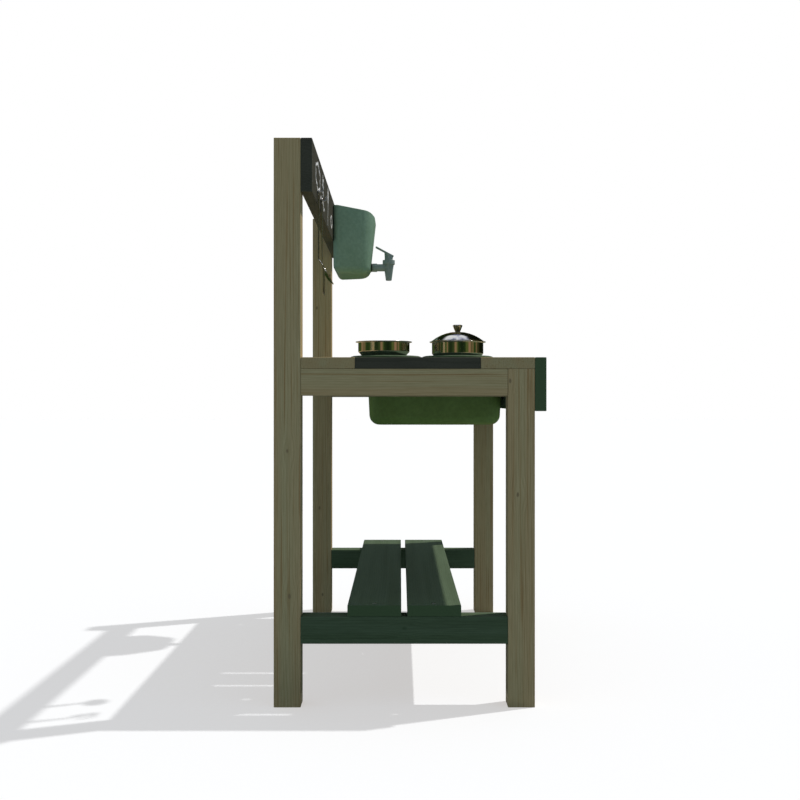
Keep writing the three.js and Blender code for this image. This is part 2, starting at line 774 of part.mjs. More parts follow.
add(tap, "tap_nut", ringGeometry(tapNut.radius, hexSides, nutStart, nutEnd), greyPlastic);
add(tap, "tap_lever", tapLeverGeometry(), greyPlastic, [0, -tapReach, 0]);

// Hooks: bent wire screwed into the beam, with a small collar against it
function hookGeometry() {
  const at = (y, z) => new THREE.Vector3(0, y, z);
  const turn = at(hook.bend - hook.reach, 0);
  const riser = at(-hook.reach, hook.bend);
  const path = new THREE.CurvePath();
  path.add(new THREE.LineCurve3(at(hook.inWood, 0), turn));
  path.add(new THREE.QuadraticBezierCurve3(turn, at(-hook.reach, 0), riser));
  path.add(new THREE.LineCurve3(riser, at(-hook.reach, hook.rise)));
  const section = shapeOf(arc(0, 0, hook.wireRadius, 0, 2 * Math.PI, wireSides).slice(0, -1));
  const wire = new THREE.ExtrudeGeometry(section, { steps: wireSteps, extrudePath: path });
  return join(wire, rod(hook.collarRadius, -fitGap - hook.collarThickness, -fitGap, screwSides));
}
const hookX = { left: xLeft + hookFromEnd, right: xLeft + hookFromEnd + hookSpacing };
const hookZ = overallHeight - hookBelowBeamTop;
const hooks = Object.entries(hookX).map(([side, x]) =>
  add(kitchen, `utensil_hook_${side}`, hookGeometry(), zinc, [x, beamFront, hookZ]),
);

// Utensils: flat steel that hangs by a hole on its hook. Their origin is the hook's wire.
const hangingDrop = utensil.holeRadius - hook.wireRadius - fitGap;
function handleOutline(lower) {
  const top = arc(0, -hangingDrop, utensil.topHalf, 0, Math.PI, plasticCornerSteps);
  const neckLeft = [-utensil.neckHalf, -utensil.handle];
  const neckRight = [utensil.neckHalf, -utensil.handle];
  const outline = shapeOf([neckRight, ...top, neckLeft, ...lower]);
  outline.holes.push(new THREE.Path().absarc(0, -hangingDrop, utensil.holeRadius, 0, 2 * Math.PI));
  return outline;
}

function turnerGeometry() {
  const shoulder = utensil.handle + turner.shoulder;
  const cornerX = turner.halfWidth - turner.corner;
  const cornerY = turner.corner - turner.length;
  const down = 1.5 * Math.PI;
  const blade = [
    [-turner.halfWidth, -shoulder],
    ...arc(-cornerX, cornerY, turner.corner, Math.PI, down, filletSteps),
    ...arc(cornerX, cornerY, turner.corner, down, 2 * Math.PI, filletSteps),
    [turner.halfWidth, -shoulder],
  ];
  const outline = handleOutline(blade);
  for (const x of [-turnerSlot.spacing, 0, turnerSlot.spacing]) {
    const low = turnerSlot.fromTip + turnerSlot.halfWidth - turner.length;
    const high = -shoulder - turnerSlot.fromShoulder;
    const ends = [
      ...arc(x, high, turnerSlot.halfWidth, 0, Math.PI, filletSteps),
      ...arc(x, low, turnerSlot.halfWidth, Math.PI, 2 * Math.PI, filletSteps),
    ];
    outline.holes.push(new THREE.Path(ends.map(([px, py]) => new THREE.Vector2(px, py))));
  }
  const line = [
    [0, utensil.above + overrun],
    [0, -utensil.handle],
    [-turner.forward, -utensil.handle - turner.bend],
    [-turner.forward, -turner.length - overrun],
  ];
  const side = extruded(stripOutline(line, turner.steel), 2 * (turner.halfWidth + overrun), "side");
  return common(extruded(outline, 2 * (turner.forward + overrun), "front"), side);
}

// A dished bowl whose middle is at the origin and whose hollow faces +Z
function bowlGeometry() {
  const sphere = (spoon.halfWidth ** 2 + spoon.depth ** 2) / (2 * spoon.depth);
  const sweep = Math.asin(spoon.halfWidth / sphere);
  const down = -Math.PI / 2;
  const skin = (inset) => arc(0, sphere - spoon.depth, sphere - inset, down, down + sweep, domeSteps);
  const profile = [
    [0, -spoon.depth],
    ...skin(0).slice(1),
    ...skin(spoon.steel).reverse().slice(0, -1),
    [0, spoon.steel - spoon.depth],
  ];
  return turned(profile, bowlSides).scale(1, spoon.halfLength / spoon.halfWidth, 1);
}

function spoonGeometry() {
  const tilt = THREE.MathUtils.degToRad(spoon.tiltDegrees);
  const handle = extruded(handleOutline([]), utensil.thickness, "front");
  const forward = spoon.halfLength * Math.sin(tilt);
  const drop = spoon.halfLength * Math.cos(tilt);
  const bowl = bowlGeometry().rotateX(Math.PI / 2 - tilt).translate(0, -forward, -utensil.handle - drop);
  return join(handle, bowl);
}
const utensils = { left: ["turner", turnerGeometry()], right: ["serving_spoon", spoonGeometry()] };
const collarFront = beamFront - fitGap - hook.collarThickness;
const hangingY = collarFront - utensilClearance - utensil.thickness / 2;
for (const [side, [name, geometry]] of Object.entries(utensils))
  add(kitchen, name, geometry, stainless, [hookX[side], hangingY, hookZ]);

// Screws, head up and driven along -Z, and the space that each one takes in the wood
function screwProfile(screw, clearance, top) {
  return [
    [0, -screw.length - clearance],
    [screw.shankRadius + clearance, screw.tip - screw.length - clearance],
    [screw.shankRadius + clearance, -screw.headHeight - clearance],
    [screw.headRadius + clearance, -screw.headLip - clearance],
    [screw.headRadius + clearance, top],
    [0, top],
  ];
}

function screwGeometry(screw) {
  const drive = pin(driveRadius, -driveDepth, driveDepth, hexSides);
  return cut(turned(screwProfile(screw, 0, 0), screwSides), drive);
}

// Cuts a mesh by another mesh where they stand in the scene.
function carve(mesh, tool) {
  kitchen.updateMatrixWorld(true);
  const intoMesh = mesh.matrixWorld.clone().invert().multiply(tool.matrixWorld);
  mesh.geometry = cut(mesh.geometry, tool.geometry.clone().applyMatrix4(intoMesh));
}

const fixings = group(kitchen, 0, 0, 0);
function driveScrew(name, screw, facing, position, woods) {
  const turn = facing === "front" ? Math.PI / 2 : 0;
  const mesh = add(fixings, name, screwGeometry(screw), zinc, position);
  const space = new THREE.Mesh(turned(screwProfile(screw, screwClearance, overrun), screwSides));
  mesh.rotation.x = turn;
  space.rotation.x = turn;
  space.position.copy(mesh.position);
  space.updateMatrixWorld(true);
  for (const wood of woods) carve(wood, space);
}

for (const end of ["left", "right"]) {
  const x = (ends[end][0] + ends[end][1]) / 2;
  ["lower", "upper"].forEach((level, i) => {
    const apronZ = apronUnderside + (railTop - apronUnderside) * screwHeightShares[i];
    const beamZ = beamUnderside + boardWidth * screwHeightShares[i];
    const inApron = [x, yFront + screwSink, apronZ];
    const inBeam = [x, beamFront + screwSink, beamZ];
    driveScrew(`apron_screw_${end}_${level}`, woodScrew, "front", inApron, [apron, legs[end]]);
    driveScrew(`beam_screw_${end}_${level}`, woodScrew, "front", inBeam, [beam, posts[end]]);
  });
  for (const [side, board] of Object.entries(shelfBoards)) {
    const y = shelf.position.y + board.position.y;
    const z = shelf.position.z + boardThickness - screwSink;
    driveScrew(`shelf_screw_${side}_${end}`, woodScrew, "up", [x, y, z], [board, lowerRails[end]]);
  }
}

for (const [side, plate] of Object.entries(hobPlates)) {
  const y = worktopCentreY + plate.position.y;
  const z = worktopHeight + fitGap + hobPlateHeight - screwSink;
  const woods = [plate, hobSlats[1], worktopBoards[side]];
  driveScrew(`hob_plate_screw_${side}`, plateScrew, "up", [hobCentreX, y, z], woods);
}

for (const [end, offset] of [["left", -tankScrewSpacing / 2], ["right", tankScrewSpacing / 2]]) {
  const headTop = beamFront - fitGap - tankWall - fitGap - wallScrew.headHeight;
  const position = [sinkCentreX + offset, headTop, tankTop - tankScrewDrop];
  driveScrew(`tank_screw_${end}`, wallScrew, "front", position, [waterTank, beam]);
}

// The beam's holes for the hooks
const hookHole = rod(hook.wireRadius + fitGap, -overrun, hook.inWood + fitGap, screwSides);
for (const mesh of hooks) {
  const space = new THREE.Mesh(hookHole);
  space.position.copy(mesh.position);
  space.updateMatrixWorld(true);
  carve(beam, space);
}

export default kitchen;
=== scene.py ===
"""The looks of a mud kitchen: planed pine, stained pine, blackboard paint, moulded plastic and pressed steel.

Sizes are in millimetres, and every mesh is scaled to metres when its object is made.
X runs along the worktop, Y from the front to the back, and Z up.
"""

import math
import random

import bmesh
import bpy
from mathutils import Matrix, Vector


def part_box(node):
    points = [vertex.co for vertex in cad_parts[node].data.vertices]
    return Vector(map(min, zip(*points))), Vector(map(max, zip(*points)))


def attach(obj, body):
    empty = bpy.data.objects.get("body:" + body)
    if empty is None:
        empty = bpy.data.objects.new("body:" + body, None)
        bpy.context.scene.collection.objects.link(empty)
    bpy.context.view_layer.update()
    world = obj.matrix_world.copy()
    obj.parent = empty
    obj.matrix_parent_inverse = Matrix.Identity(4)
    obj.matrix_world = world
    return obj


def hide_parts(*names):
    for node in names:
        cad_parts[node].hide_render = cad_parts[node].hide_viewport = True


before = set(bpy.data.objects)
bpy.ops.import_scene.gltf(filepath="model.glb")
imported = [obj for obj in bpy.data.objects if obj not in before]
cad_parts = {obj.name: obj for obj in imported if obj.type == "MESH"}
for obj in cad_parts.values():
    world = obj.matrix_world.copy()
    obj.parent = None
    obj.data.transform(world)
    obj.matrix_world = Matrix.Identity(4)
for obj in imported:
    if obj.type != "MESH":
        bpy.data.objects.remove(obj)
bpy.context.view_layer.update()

MM = 0.001

# How finely round shapes are made
ARC_STEP = math.radians(7.5)
CORNER_STEPS = 12
FILLET_STEPS = 10
ROUND_SIDES = 96
SMALL_SIDES = 48
SHARP_ANGLE = math.radians(32)
WELD = 0.002

# Planed timbers have small round edges and eased ends.
TIMBER_EDGE = {"arris": 1.4, "end": 0.8}

# The gap between pieces that lie on each other or fit together, and how far a cut runs past what it cuts
FIT_GAP = 0.3
OVERRUN = 5

# Camera, as the photograph was taken: level, looking along the worktop from its left end
CAMERA_PLACE = (-2495, 16.8, 512.6)
LENS = 54.54
SENSOR = 36

# Light
SUN_TOWARDS = (0.245, -0.515, 1)
SUN_STRENGTH = 2.72
SUN_SOFTNESS = math.radians(1.1)
SUN_COLOUR = "#fff6ef"
SKY_STRENGTH = 0.36
SKY_COLOUR = "#dcf1ff"
FLOOR_SIZE = 60000
FLOOR_BOUNCE_COLOUR = "#84919a"
# What the camera sees of the floor: the two colours add up to white in full light, and leave shadows neutral.
FLOOR_LIT_COLOUR = "#b2b9be"
FLOOR_GLOW_COLOUR = "#c3bebb"


# Colours and nodes


def linear(hex_colour):
    """The linear RGBA of an sRGB hex colour."""
    channels = [int(hex_colour[i : i + 2], 16) / 255 for i in (1, 3, 5)]
    return [c / 12.92 if c <= 0.04045 else ((c + 0.055) / 1.055) ** 2.4 for c in channels] + [1]


def add(tree, kind, inputs=None, stops=None, **settings):
    """Adds a node with its settings and links, and gives back its outputs.

    An input that is another node's output is linked, and any other value is set on the socket.
    """
    made = tree.nodes.new("ShaderNode" + kind)
    for name, value in settings.items():
        setattr(made, name, value)
    for key, value in (inputs or {}).items():
        if isinstance(value, bpy.types.NodeSocket):
            tree.links.new(value, made.inputs[key])
        else:
            made.inputs[key].default_value = value
    for i, (place, colour) in enumerate(stops or []):
        ramp = made.color_ramp.elements
        stop = ramp[i] if i < len(ramp) else ramp.new(place)
        stop.position = place
        stop.color = linear(colour)
    return made.outputs


def blank_material(name):
    """A new material and its empty node tree."""
    material = bpy.data.materials.new(name)
    material.use_nodes = True
    material.node_tree.nodes.clear()
    return material, material.node_tree


def new_finish(name, recipe, *values):
    """A new material, whose shader takes the inputs that its recipe gives."""
    material, tree = blank_material(name)
    shader = add(tree, "BsdfPrincipled", recipe(tree, *values))[0]
    add(tree, "OutputMaterial", {"Surface": shader})
    return material


# Settings of the node that blends two colours
BLEND = {"data_type": "RGBA"}
MULTIPLY = {"data_type": "RGBA", "blend_type": "MULTIPLY"}

# What most of a noise pattern lies between
NOISE_SPAN = {"From Min": 0.3, "From Max": 0.7}


def layered(tree, pattern, stops, layers):
    """The colours of a pattern's ramp, with other patterns laid over them in turn.

    Each layer is a pattern, its share of full strength, and either the stops of a ramp, which multiplies the
    colours, or one colour, which covers them.
    """
    colour = add(tree, "ValToRGB", {0: pattern}, stops=stops)[0]
    for over, share, tone in layers:
        if isinstance(tone, str):
            cover = add(tree, "Math", {0: over, 1: share}, operation="MULTIPLY")[0]
            colour = add(tree, "Mix", {0: cover, 6: colour, 7: linear(tone)}, **BLEND)[2]
        else:
            toned = add(tree, "ValToRGB", {0: over}, stops=tone)[0]
            colour = add(tree, "Mix", {0: share, 6: colour, 7: toned}, **MULTIPLY)[2]
    return colour


def place_in_mm(tree):
    """A point's place on its object, in millimetres."""
    place = add(tree, "TexCoord")["Object"]
    return add(tree, "VectorMath", {0: place, "Scale": 1 / MM}, operation="SCALE")[0]


# Timber


# The width, length and detail of each pattern in the grain. Real fibres are finer, and are drawn this coarse so
# that they show.
GRAIN_PATTERNS = {
    "zones": (26, 1300, 1),
    "streaks": (2.4, 240, 1),
    "fibres": (0.9, 36, 3),
    "blotches": (60, 150, 2),
    "wandering": (110, 520, 2),
    "uneven": (26, 3900, 1),
    "ragged": (9, 14, 2),
}
GROWTH_RING = {"spacing": 4.2, "wander": 18, "lean": 0.22, "uneven": 3.1}
KNOT = {"apart": 78, "depth": 600, "along": 310, "scatter_share": 0.9, "length_share": 0.6}
KNOT_EDGE = {"core": 2.8, "end": 4.8, "ragged": 3, "bow_reach": 22, "bow_share": 0.85}


def pine_grain(tree):
    """The grain of a planed softwood timber, from the place in it that give_grain stores, in millimetres.

    Gives how far through its growth ring a point is, its knots, its end grain and the patterns of its grain,
    all from 0 to 1, and its place.
    """
    grain = add(tree, "Attribute", attribute_name="grain")["Vector"]
    parts = add(tree, "SeparateXYZ", {0: grain})
    patterns = {}
    for name, (width, length, detail) in GRAIN_PATTERNS.items():
        scale = (1 / width, 1 / width, 1 / length)
        vector = add(tree, "VectorMath", {0: grain, 1: scale}, operation="MULTIPLY")[0]
        patterns[name] = add(tree, "TexNoise", {"Vector": vector, "Scale": 1, "Detail": detail})[0]

    # Knots are the feet of branches, which cross the timber from side to side.
    knot_scale = (1 / KNOT["apart"], 1 / KNOT["depth"], 1 / KNOT["along"])
    knot_space = add(tree, "VectorMath", {0: grain, 1: knot_scale}, operation="MULTIPLY")[0]
    scattered = {"Vector": knot_space, "Scale": 1, "Randomness": KNOT["scatter_share"]}
    middle = add(tree, "TexVoronoi", scattered)["Position"]
    off = add(tree, "VectorMath", {0: knot_space, 1: middle}, operation="SUBTRACT")[0]
    cell = (KNOT["apart"], 0, KNOT["along"] * KNOT["length_share"])
    off_mm = add(tree, "VectorMath", {0: off, 1: cell}, operation="MULTIPLY")[0]
    distance = add(tree, "VectorMath", {0: off_mm}, operation="LENGTH")["Value"]
    edge = {0: patterns["ragged"], 1: KNOT_EDGE["ragged"], 2: distance}
    ragged = add(tree, "Math", edge, operation="MULTIPLY_ADD")[0]
    fade = {"Value": ragged, "From Min": KNOT_EDGE["end"], "From Max": KNOT_EDGE["core"]}
    knots = add(tree, "MapRange", fade, interpolation_type="SMOOTHSTEP")[0]

    # The growth rings wander along the timber and bow round each knot.
    wander = add(tree, "Math", {0: patterns["wandering"], 1: GROWTH_RING["wander"]}, operation="MULTIPLY")[0]
    lean = add(tree, "Math", {0: parts["Y"], 1: GROWTH_RING["lean"], 2: wander}, operation="MULTIPLY_ADD")[0]
    straight = add(tree, "Math", {0: parts["X"], 1: lean}, operation="ADD")[0]
    bow_reach, bow_share = KNOT_EDGE["bow_reach"], KNOT_EDGE["bow_share"]
    nearness = {"Value": distance, "From Max": bow_reach, "To Min": bow_share, "To Max": 0}
    near = add(tree, "MapRange", nearness)[0]
    sideways = add(tree, "SeparateXYZ", {0: off_mm})["X"]
    bow = add(tree, "Math", {0: sideways, 1: near}, operation="MULTIPLY")[0]
    bowed = add(tree, "Math", {0: straight, 1: bow}, operation="SUBTRACT")[0]
    uneven = add(tree, "Math", {0: patterns["uneven"], 1: GROWTH_RING["uneven"]}, operation="MULTIPLY")[0]
    count = {0: bowed, 1: 1 / GROWTH_RING["spacing"], 2: uneven}
    counted = add(tree, "Math", count, operation="MULTIPLY_ADD")[0]
    return patterns | {
        "rings": add(tree, "Math", {0: counted}, operation="FRACT")[0],
        "knots": knots,
        "end": add(tree, "Attribute", attribute_name="end_grain")["Fac"],
        "place": grain,
    }


def arris(tree):
    """How near a point is to a planed edge, from 0 on a flat face to 1 on the edge."""
    rounded = add(tree, "Bevel", {"Radius": TIMBER_EDGE["arris"] * MM}, samples=4)[0]
    flat = add(tree, "NewGeometry")["True Normal"]
    same = add(tree, "VectorMath", {0: rounded, 1: flat}, operation="DOT_PRODUCT")["Value"]
    return add(tree, "MapRange", {"Value": same, "From Min": 0.995, "From Max": 0.85})[0]


def wood_relief(tree, grain, ring_height, fibre_height):
    """The bump of planed softwood, whose hard latewood stands proud of the soft earlywood."""
    rings = add(tree, "Math", {0: grain["rings"], 1: ring_height}, operation="MULTIPLY")[0]
    height = add(tree, "Math", {0: grain["fibres"], 1: fibre_height, 2: rings}, operation="MULTIPLY_ADD")[0]
    return add(tree, "Bump", {"Height": height, "Strength": 0.6, "Distance": MM})[0]


def planed_pine(tree):
    """Scandinavian pine, planed and left bare: pale, with darker growth lines, streaks and small knots."""
    grain = pine_grain(tree)
    growth = [(0, "#c3b58e"), (0.5, "#c0b28b"), (0.84, "#b8a981"), (1, "#bdaf88")]
    layers = [
        (grain["zones"], 1, [(0.34, "#fdfdf6"), (0.62, "#fff2e6")]),
        (grain["streaks"], 1, [(0.58, "#ffffff"), (0.7, "#e9d6c5")]),
        (grain["fibres"], 0.7, [(0.3, "#e4e0d6"), (0.6, "#ffffff")]),
        (grain["knots"], 1, "#93805e"),
        (grain["end"], 0.4, "#9d8d66"),
        # Painted shade: a darker colour along the rounded edges stands in for the shading there.
        (arris(tree), 0.3, "#9b8d68"),
    ]
    return {
        "Base Color": layered(tree, grain["rings"], growth, layers),
        "Roughness": add(tree, "MapRange", {"Value": grain["fibres"], "To Min": 0.66, "To Max": 0.84})[0],
        "IOR": 1.5,
        "Specular IOR Level": 0.3,
        "Normal": wood_relief(tree, grain, 0.04, 0.1),
    }


def stained_pine(tree):
    """Pine under dark green wood stain, which sinks into the soft wood, so the grain shows as darker lines.

    The dry pigment gives it a faint bloom at a low angle.
    """
    grain = pine_grain(tree)
    growth = [(0, "#5c6f55"), (0.5, "#5b6d54"), (0.84, "#54674d"), (1, "#596c53")]
    layers = [
        (grain["zones"], 1, [(0.3, "#dfe4da"), (0.5, "#ffffff"), (0.7, "#e6ebdf")]),
        (grain["fibres"], 0.7, [(0.3, "#cfd6cd"), (0.62, "#ffffff")]),
        (grain["knots"], 1, "#465b42"),
        (grain["end"], 1, "#4d6344"),
        # Painted highlight: a lighter colour along the rounded edges stands in for the light that they catch.
        (arris(tree), 0.25, "#64795f"),
    ]
    return {
        "Base Color": layered(tree, grain["rings"], growth, layers),
        "Roughness": add(tree, "MapRange", {"Value": grain["fibres"], "To Min": 0.58, "To Max": 0.74})[0],
        "IOR": 1.5,
        "Specular IOR Level": 0.12,
        "Sheen Weight": 0.12,
        "Sheen Roughness": 0.4,
        "Sheen Tint": linear("#d9e6dc"),
        "Normal": wood_relief(tree, grain, 0.06, 0.1),
    }


def blackboard_pine(tree):
    """Pine under rolled blackboard paint: matt near-black, with the grain and the roller's grit in relief.

    Surfaces that face down are painted a warmer brown: painted bounce light, as thrown up on them from the
    ground below.
    """
    grain = pine_grain(tree)
    grit_size = 1.1
    grit = add(tree, "TexNoise", {"Vector": grain["place"], "Scale": 1 / grit_size, "Detail": 2})[0]
    # Painted bounce light: faces that look down get a warmer brown, as if lit from the ground below.
    facing = add(tree, "SeparateXYZ", {0: add(tree, "NewGeometry")["True Normal"]})["Z"]
    facing_down_bounce = add(tree, "MapRange", {"Value": facing, "From Min": -0.5, "From Max": -0.9})[0]
    layers = [
        (facing_down_bounce, 1, "#716c57"),
        (grain["rings"], 0.4, [(0.6, "#ffffff"), (0.95, "#cdd1ca")]),
        (grit, 0.8, [(0.42, "#d8d8d4"), (0.62, "#ffffff")]),
        # Painted highlight: a lighter colour along the rounded edges stands in for the light that they catch.
        (arris(tree), 0.3, "#6d6b5c"),
    ]
    relief = wood_relief(tree, grain, 0.06, 0.06)
    gritty = {"Height": grit, "Strength": 0.35, "Distance": 0.25 * MM, "Normal": relief}
    return {
        "Base Color": layered(tree, grain["blotches"], [(0.35, "#4f4e44"), (0.7, "#58574c")], layers),
        "Roughness": 0.86,
        "IOR": 1.5,
        "Specular IOR Level": 0.06,
        "Normal": add(tree, "Bump", gritty)[0],
    }


# Plastics


def moulded_plastic(tree, tint, shade, texture_size):
    """Injection-moulded plastic: one colour with slow changes in its depth, and a fine eroded texture."""
    place = place_in_mm(tree)
    cloud_size, scuff_size = 70, 7
    clouds = add(tree, "TexNoise", {"Vector": place, "Scale": 1 / cloud_size, "Detail": 3})[0]
    scuffed = {"Vector": place, "Scale": 1 / scuff_size, "Detail": 4, "Roughness": 0.6}
    scuffs = add(tree, "TexNoise", scuffed)[0]
    # Real eroded pits are finer, and are drawn this coarse so that they show.
    pits = add(tree, "TexNoise", {"Vector": place, "Scale": 1 / texture_size, "Detail": 2})[0]
    dust = (scuffs, 1, [(0.4, "#f1f1ee"), (0.62, "#ffffff")])
    return {
        "Base Color": layered(tree, clouds, [(0.35, shade), (0.65, tint)], [dust]),
        "Roughness": add(tree, "MapRange", {"Value": scuffs, "To Min": 0.34, "To Max": 0.5})[0],
        "IOR": 1.49,
        "Specular IOR Level": 0.3,
        "Normal": add(tree, "Bump", {"Height": pits, "Strength": 0.25, "Distance": 0.12 * MM})[0],
    }


def moulded_rubber(tree):
    """Moulded nitrile rubber: dull black with a faint bloom."""
    bloom_size = 3
    bloom = add(tree, "TexNoise", {"Vector": place_in_mm(tree), "Scale": 1 / bloom_size, "Detail": 3})[0]
    colour = add(tree, "ValToRGB", {0: bloom}, stops=[(0.35, "#151515"), (0.7, "#242423")])[0]
    return {"Base Color": colour, "Roughness": 0.85, "IOR": 1.52}


# Metals


def spun_steel(tree):
    """Stainless steel, spun on a former and buffed: near-mirror, with faint rings round the pan's axis."""
    ring_width, smear_size = 0.7, 16
    place = place_in_mm(tree)
    flat = add(tree, "VectorMath", {0: place, 1: (1, 1, 0)}, operation="MULTIPLY")[0]
    radius = add(tree, "VectorMath", {0: flat}, operation="LENGTH")["Value"]
    height = add(tree, "SeparateXYZ", {0: place})["Z"]
    path = add(tree, "CombineXYZ", {0: radius, 1: height})[0]
    rings = add(tree, "TexNoise", {"Vector": path, "Scale": 1 / ring_width, "Detail": 2})[0]
    smears = add(tree, "TexNoise", {"Vector": place, "Scale": 1 / smear_size, "Detail": 3})[0]
    return {
        "Base Color": add(tree, "ValToRGB", {0: smears}, stops=[(0.3, "#c9cac9"), (0.7, "#d6d7d6")])[0],
        "Metallic": 1,
        "Roughness": add(tree, "MapRange", NOISE_SPAN | {"Value": smears, "To Min": 0.05, "To Max": 0.11})[0],
        "Normal": add(tree, "Bump", {"Height": rings, "Strength": 0.12, "Distance": 0.02 * MM})[0],
    }


def brushed_steel(tree):
    """Stainless steel sheet, belt-brushed along its length: soft streaked shine."""
    # Real brushed lines are finer, and are drawn this coarse so that they show.
    line_width, line_length = 0.35, 40
    scale = (1 / line_width, 1 / line_width, 1 / line_length)
    space = add(tree, "VectorMath", {0: place_in_mm(tree), 1: scale}, operation="MULTIPLY")[0]
    lines = add(tree, "TexNoise", {"Vector": space, "Scale": 1, "Detail": 3})[0]
    return {
        "Base Color": add(tree, "ValToRGB", {0: lines}, stops=[(0.35, "#b9bbbb"), (0.65, "#cbcccc")])[0],
        "Metallic": 1,
        "Roughness": add(tree, "MapRange", NOISE_SPAN | {"Value": lines, "To Min": 0.2, "To Max": 0.34})[0],
        "Normal": add(tree, "Bump", {"Height": lines, "Strength": 0.2, "Distance": 0.03 * MM})[0],
    }


def zinc_plate(tree):
    """Zinc plate on drawn steel, dulled by weather: a patchy bluish grey, half metal and half its oxide."""
    patch_size = 1.6
    patches = add(tree, "TexNoise", {"Vector": place_in_mm(tree), "Scale": 1 / patch_size, "Detail": 3})[0]
    dulled = NOISE_SPAN | {"Value": patches, "To Min": 0.28, "To Max": 0.48}
    return {
        "Base Color": add(tree, "ValToRGB", {0: patches}, stops=[(0.35, "#a4a8ab"), (0.65, "#c3c6c9")])[0],
        "Metallic": 0.5,
        "Roughness": add(tree, "MapRange", dulled)[0],
    }


def blackboard_chalk(tree):
    """Blackboard chalk, rubbed on by hand: dry white dust that thins out over the paint's grit."""
    grit_size = 0.9
    dust = add(tree, "TexNoise", {"Vector": place_in_mm(tree), "Scale": 1 / grit_size, "Detail": 3})[0]
    whites = [(0.34, "#b4b6b4"), (0.46, "#f2f2f0"), (0.7, "#fbfbf9")]
    colour = add(tree, "ValToRGB", {0: dust}, stops=whites)[0]
    return {"Base Color": colour, "Roughness": 0.95, "Specular IOR Level": 0.1}


# The tint, the deeper shade and the size of the texture of each plastic
SAGE = ("#92b39b", "#8aab92", 0.9)
GREEN = ("#84a155", "#7a964b", 0.9)
GREY = ("#9dada9", "#94a49f", 0.7)
FINISHES = {
    "planed_pine": new_finish("scandinavian_pine_planed", planed_pine),
    "green_stained_pine": new_finish("scandinavian_pine_green_stain", stained_pine),
    "black_painted_pine": new_finish("blackboard_paint_rolled_on_pine", blackboard_pine),
    "sage_polypropylene": new_finish("polypropylene_moulded_sage", moulded_plastic, *SAGE),
    "green_polypropylene": new_finish("polypropylene_moulded_green", moulded_plastic, *GREEN),
    "grey_plastic": new_finish("abs_moulded_grey", moulded_plastic, *GREY),
    "black_rubber": new_finish("nitrile_rubber_moulded", moulded_rubber),
    "spun_steel": new_finish("stainless_steel_spun", spun_steel),
    "brushed_steel": new_finish("stainless_steel_brushed", brushed_steel),
    "zinc_steel": new_finish("steel_zinc_plated", zinc_plate),
    "chalk": new_finish("blackboard_chalk", blackboard_chalk),
}


# Shapes: each is a list of points, in millimetres, and a list of faces


def rounded_line(corners, radii, closed=False, steps=None):
    """The points of a line through 2-D corners, each rounded by its own radius, in steps if given."""
    points = []
    for i, (corner, radius) in enumerate(zip(corners, radii)):
        here = Vector(corner)
        if not radius or (not closed and i in (0, len(corners) - 1)):
            points.append(here)
            continue
        before = (Vector(corners[i - 1]) - here).normalized()
        after = (Vector(corners[(i + 1) % len(corners)]) - here).normalized()
        half = before.angle(after) / 2
        centre = here + (before + after).normalized() * (radius / math.sin(half))
        spoke = here + before * (radius / math.tan(half)) - centre
        side = 1 if before.x * after.y - before.y * after.x < 0 else -1
        turn = side * (math.pi - 2 * half)
        count = steps or max(2, math.ceil(abs(turn) / ARC_STEP))
        for step in range(count + 1):
            points.append(centre + Matrix.Rotation(turn * step / count, 2) @ spoke)
    return points


def arc(centre, radius, start, end, steps=None):
    """Points on a circle's arc in 2-D, from one angle to another, in steps if given."""
    steps = steps or max(2, math.ceil(abs(end - start) / ARC_STEP))
    angles = [start + (end - start) * step / steps for step in range(steps + 1)]
    return [Vector((centre[0] + radius * math.cos(a), centre[1] + radius * math.sin(a))) for a in angles]


def round_over(radius, steps=4):
    """Steps round a quarter circle: how far each is set in from the side, and how far it is from the end."""
    angles = [math.pi / 2 * step / steps for step in range(steps + 1)]
    return [(radius * (1 - math.sin(a)), radius * (1 - math.cos(a))) for a in angles]


def level_ring(half_x, half_y, radius, z, steps=None):
    """A level ring of points round a rectangle with round corners."""
    corners = [(-half_x, -half_y), (half_x, -half_y), (half_x, half_y), (-half_x, half_y)]
    return [(x, y, z) for x, y in rounded_line(corners, [radius] * 4, True, steps)]


def loft(rings, closed=False):
    """A skin through rings of points that rise anticlockwise. A ring of one point is a pole."""
    points, starts, faces = [], [], []
    for ring in rings:
        starts.append(len(points))
        points.extend(Vector(point) for point in ring)
    count = len(rings)
    for low in range(count if closed else count - 1):
        high = (low + 1) % count
        sides = max(len(rings[low]), len(rings[high]))
        for i in range(sides):
            j = (i + 1) % sides
            under = [starts[low] + i, starts[low] + j] if len(rings[low]) > 1 else [starts[low]]
            over = [starts[high] + j, starts[high] + i] if len(rings[high]) > 1 else [starts[high]]
            faces.append(under + over)
    if not closed:
        if len(rings[0]) > 1:
            faces.append([starts[0] + i for i in reversed(range(len(rings[0])))])
        if len(rings[-1]) > 1:
            faces.append([starts[-1] + i for i in range(len(rings[-1]))])
    return points, faces


def turned(profile, sides=ROUND_SIDES, closed=False):
    """A turned solid round the Z axis, from a profile of radius and height."""
    angles = [2 * math.pi * i / sides for i in range(sides)]

    def ring(radius, height):
        if radius < WELD:
            return [(0, 0, height)]
        return [(radius * math.cos(a), radius * math.sin(a), height) for a in angles]

    return loft([ring(*point) for point in profile], closed)


def changed(shape, matrix):
    """A shape moved, turned or scaled by a matrix."""
    points, faces = shape
    return [matrix @ point for point in points], faces


def moved(shape, x=0, y=0, z=0):
    """A shape moved by so many millimetres."""
    return changed(shape, Matrix.Translation((x, y, z)))


def spun(shape, degrees, axis):
    """A shape turned about the X, Y or Z axis."""
    return changed(shape, Matrix.Rotation(math.radians(degrees), 4, axis))


def rod(radius, start, end, edge=0, sides=SMALL_SIDES):
    """A round bar along Y, with its edges rounded."""
    profile = rounded_line([(0, start), (radius, start), (radius, end), (0, end)], [0, edge, edge, 0])
    return spun(turned(profile, sides), -90, "X")


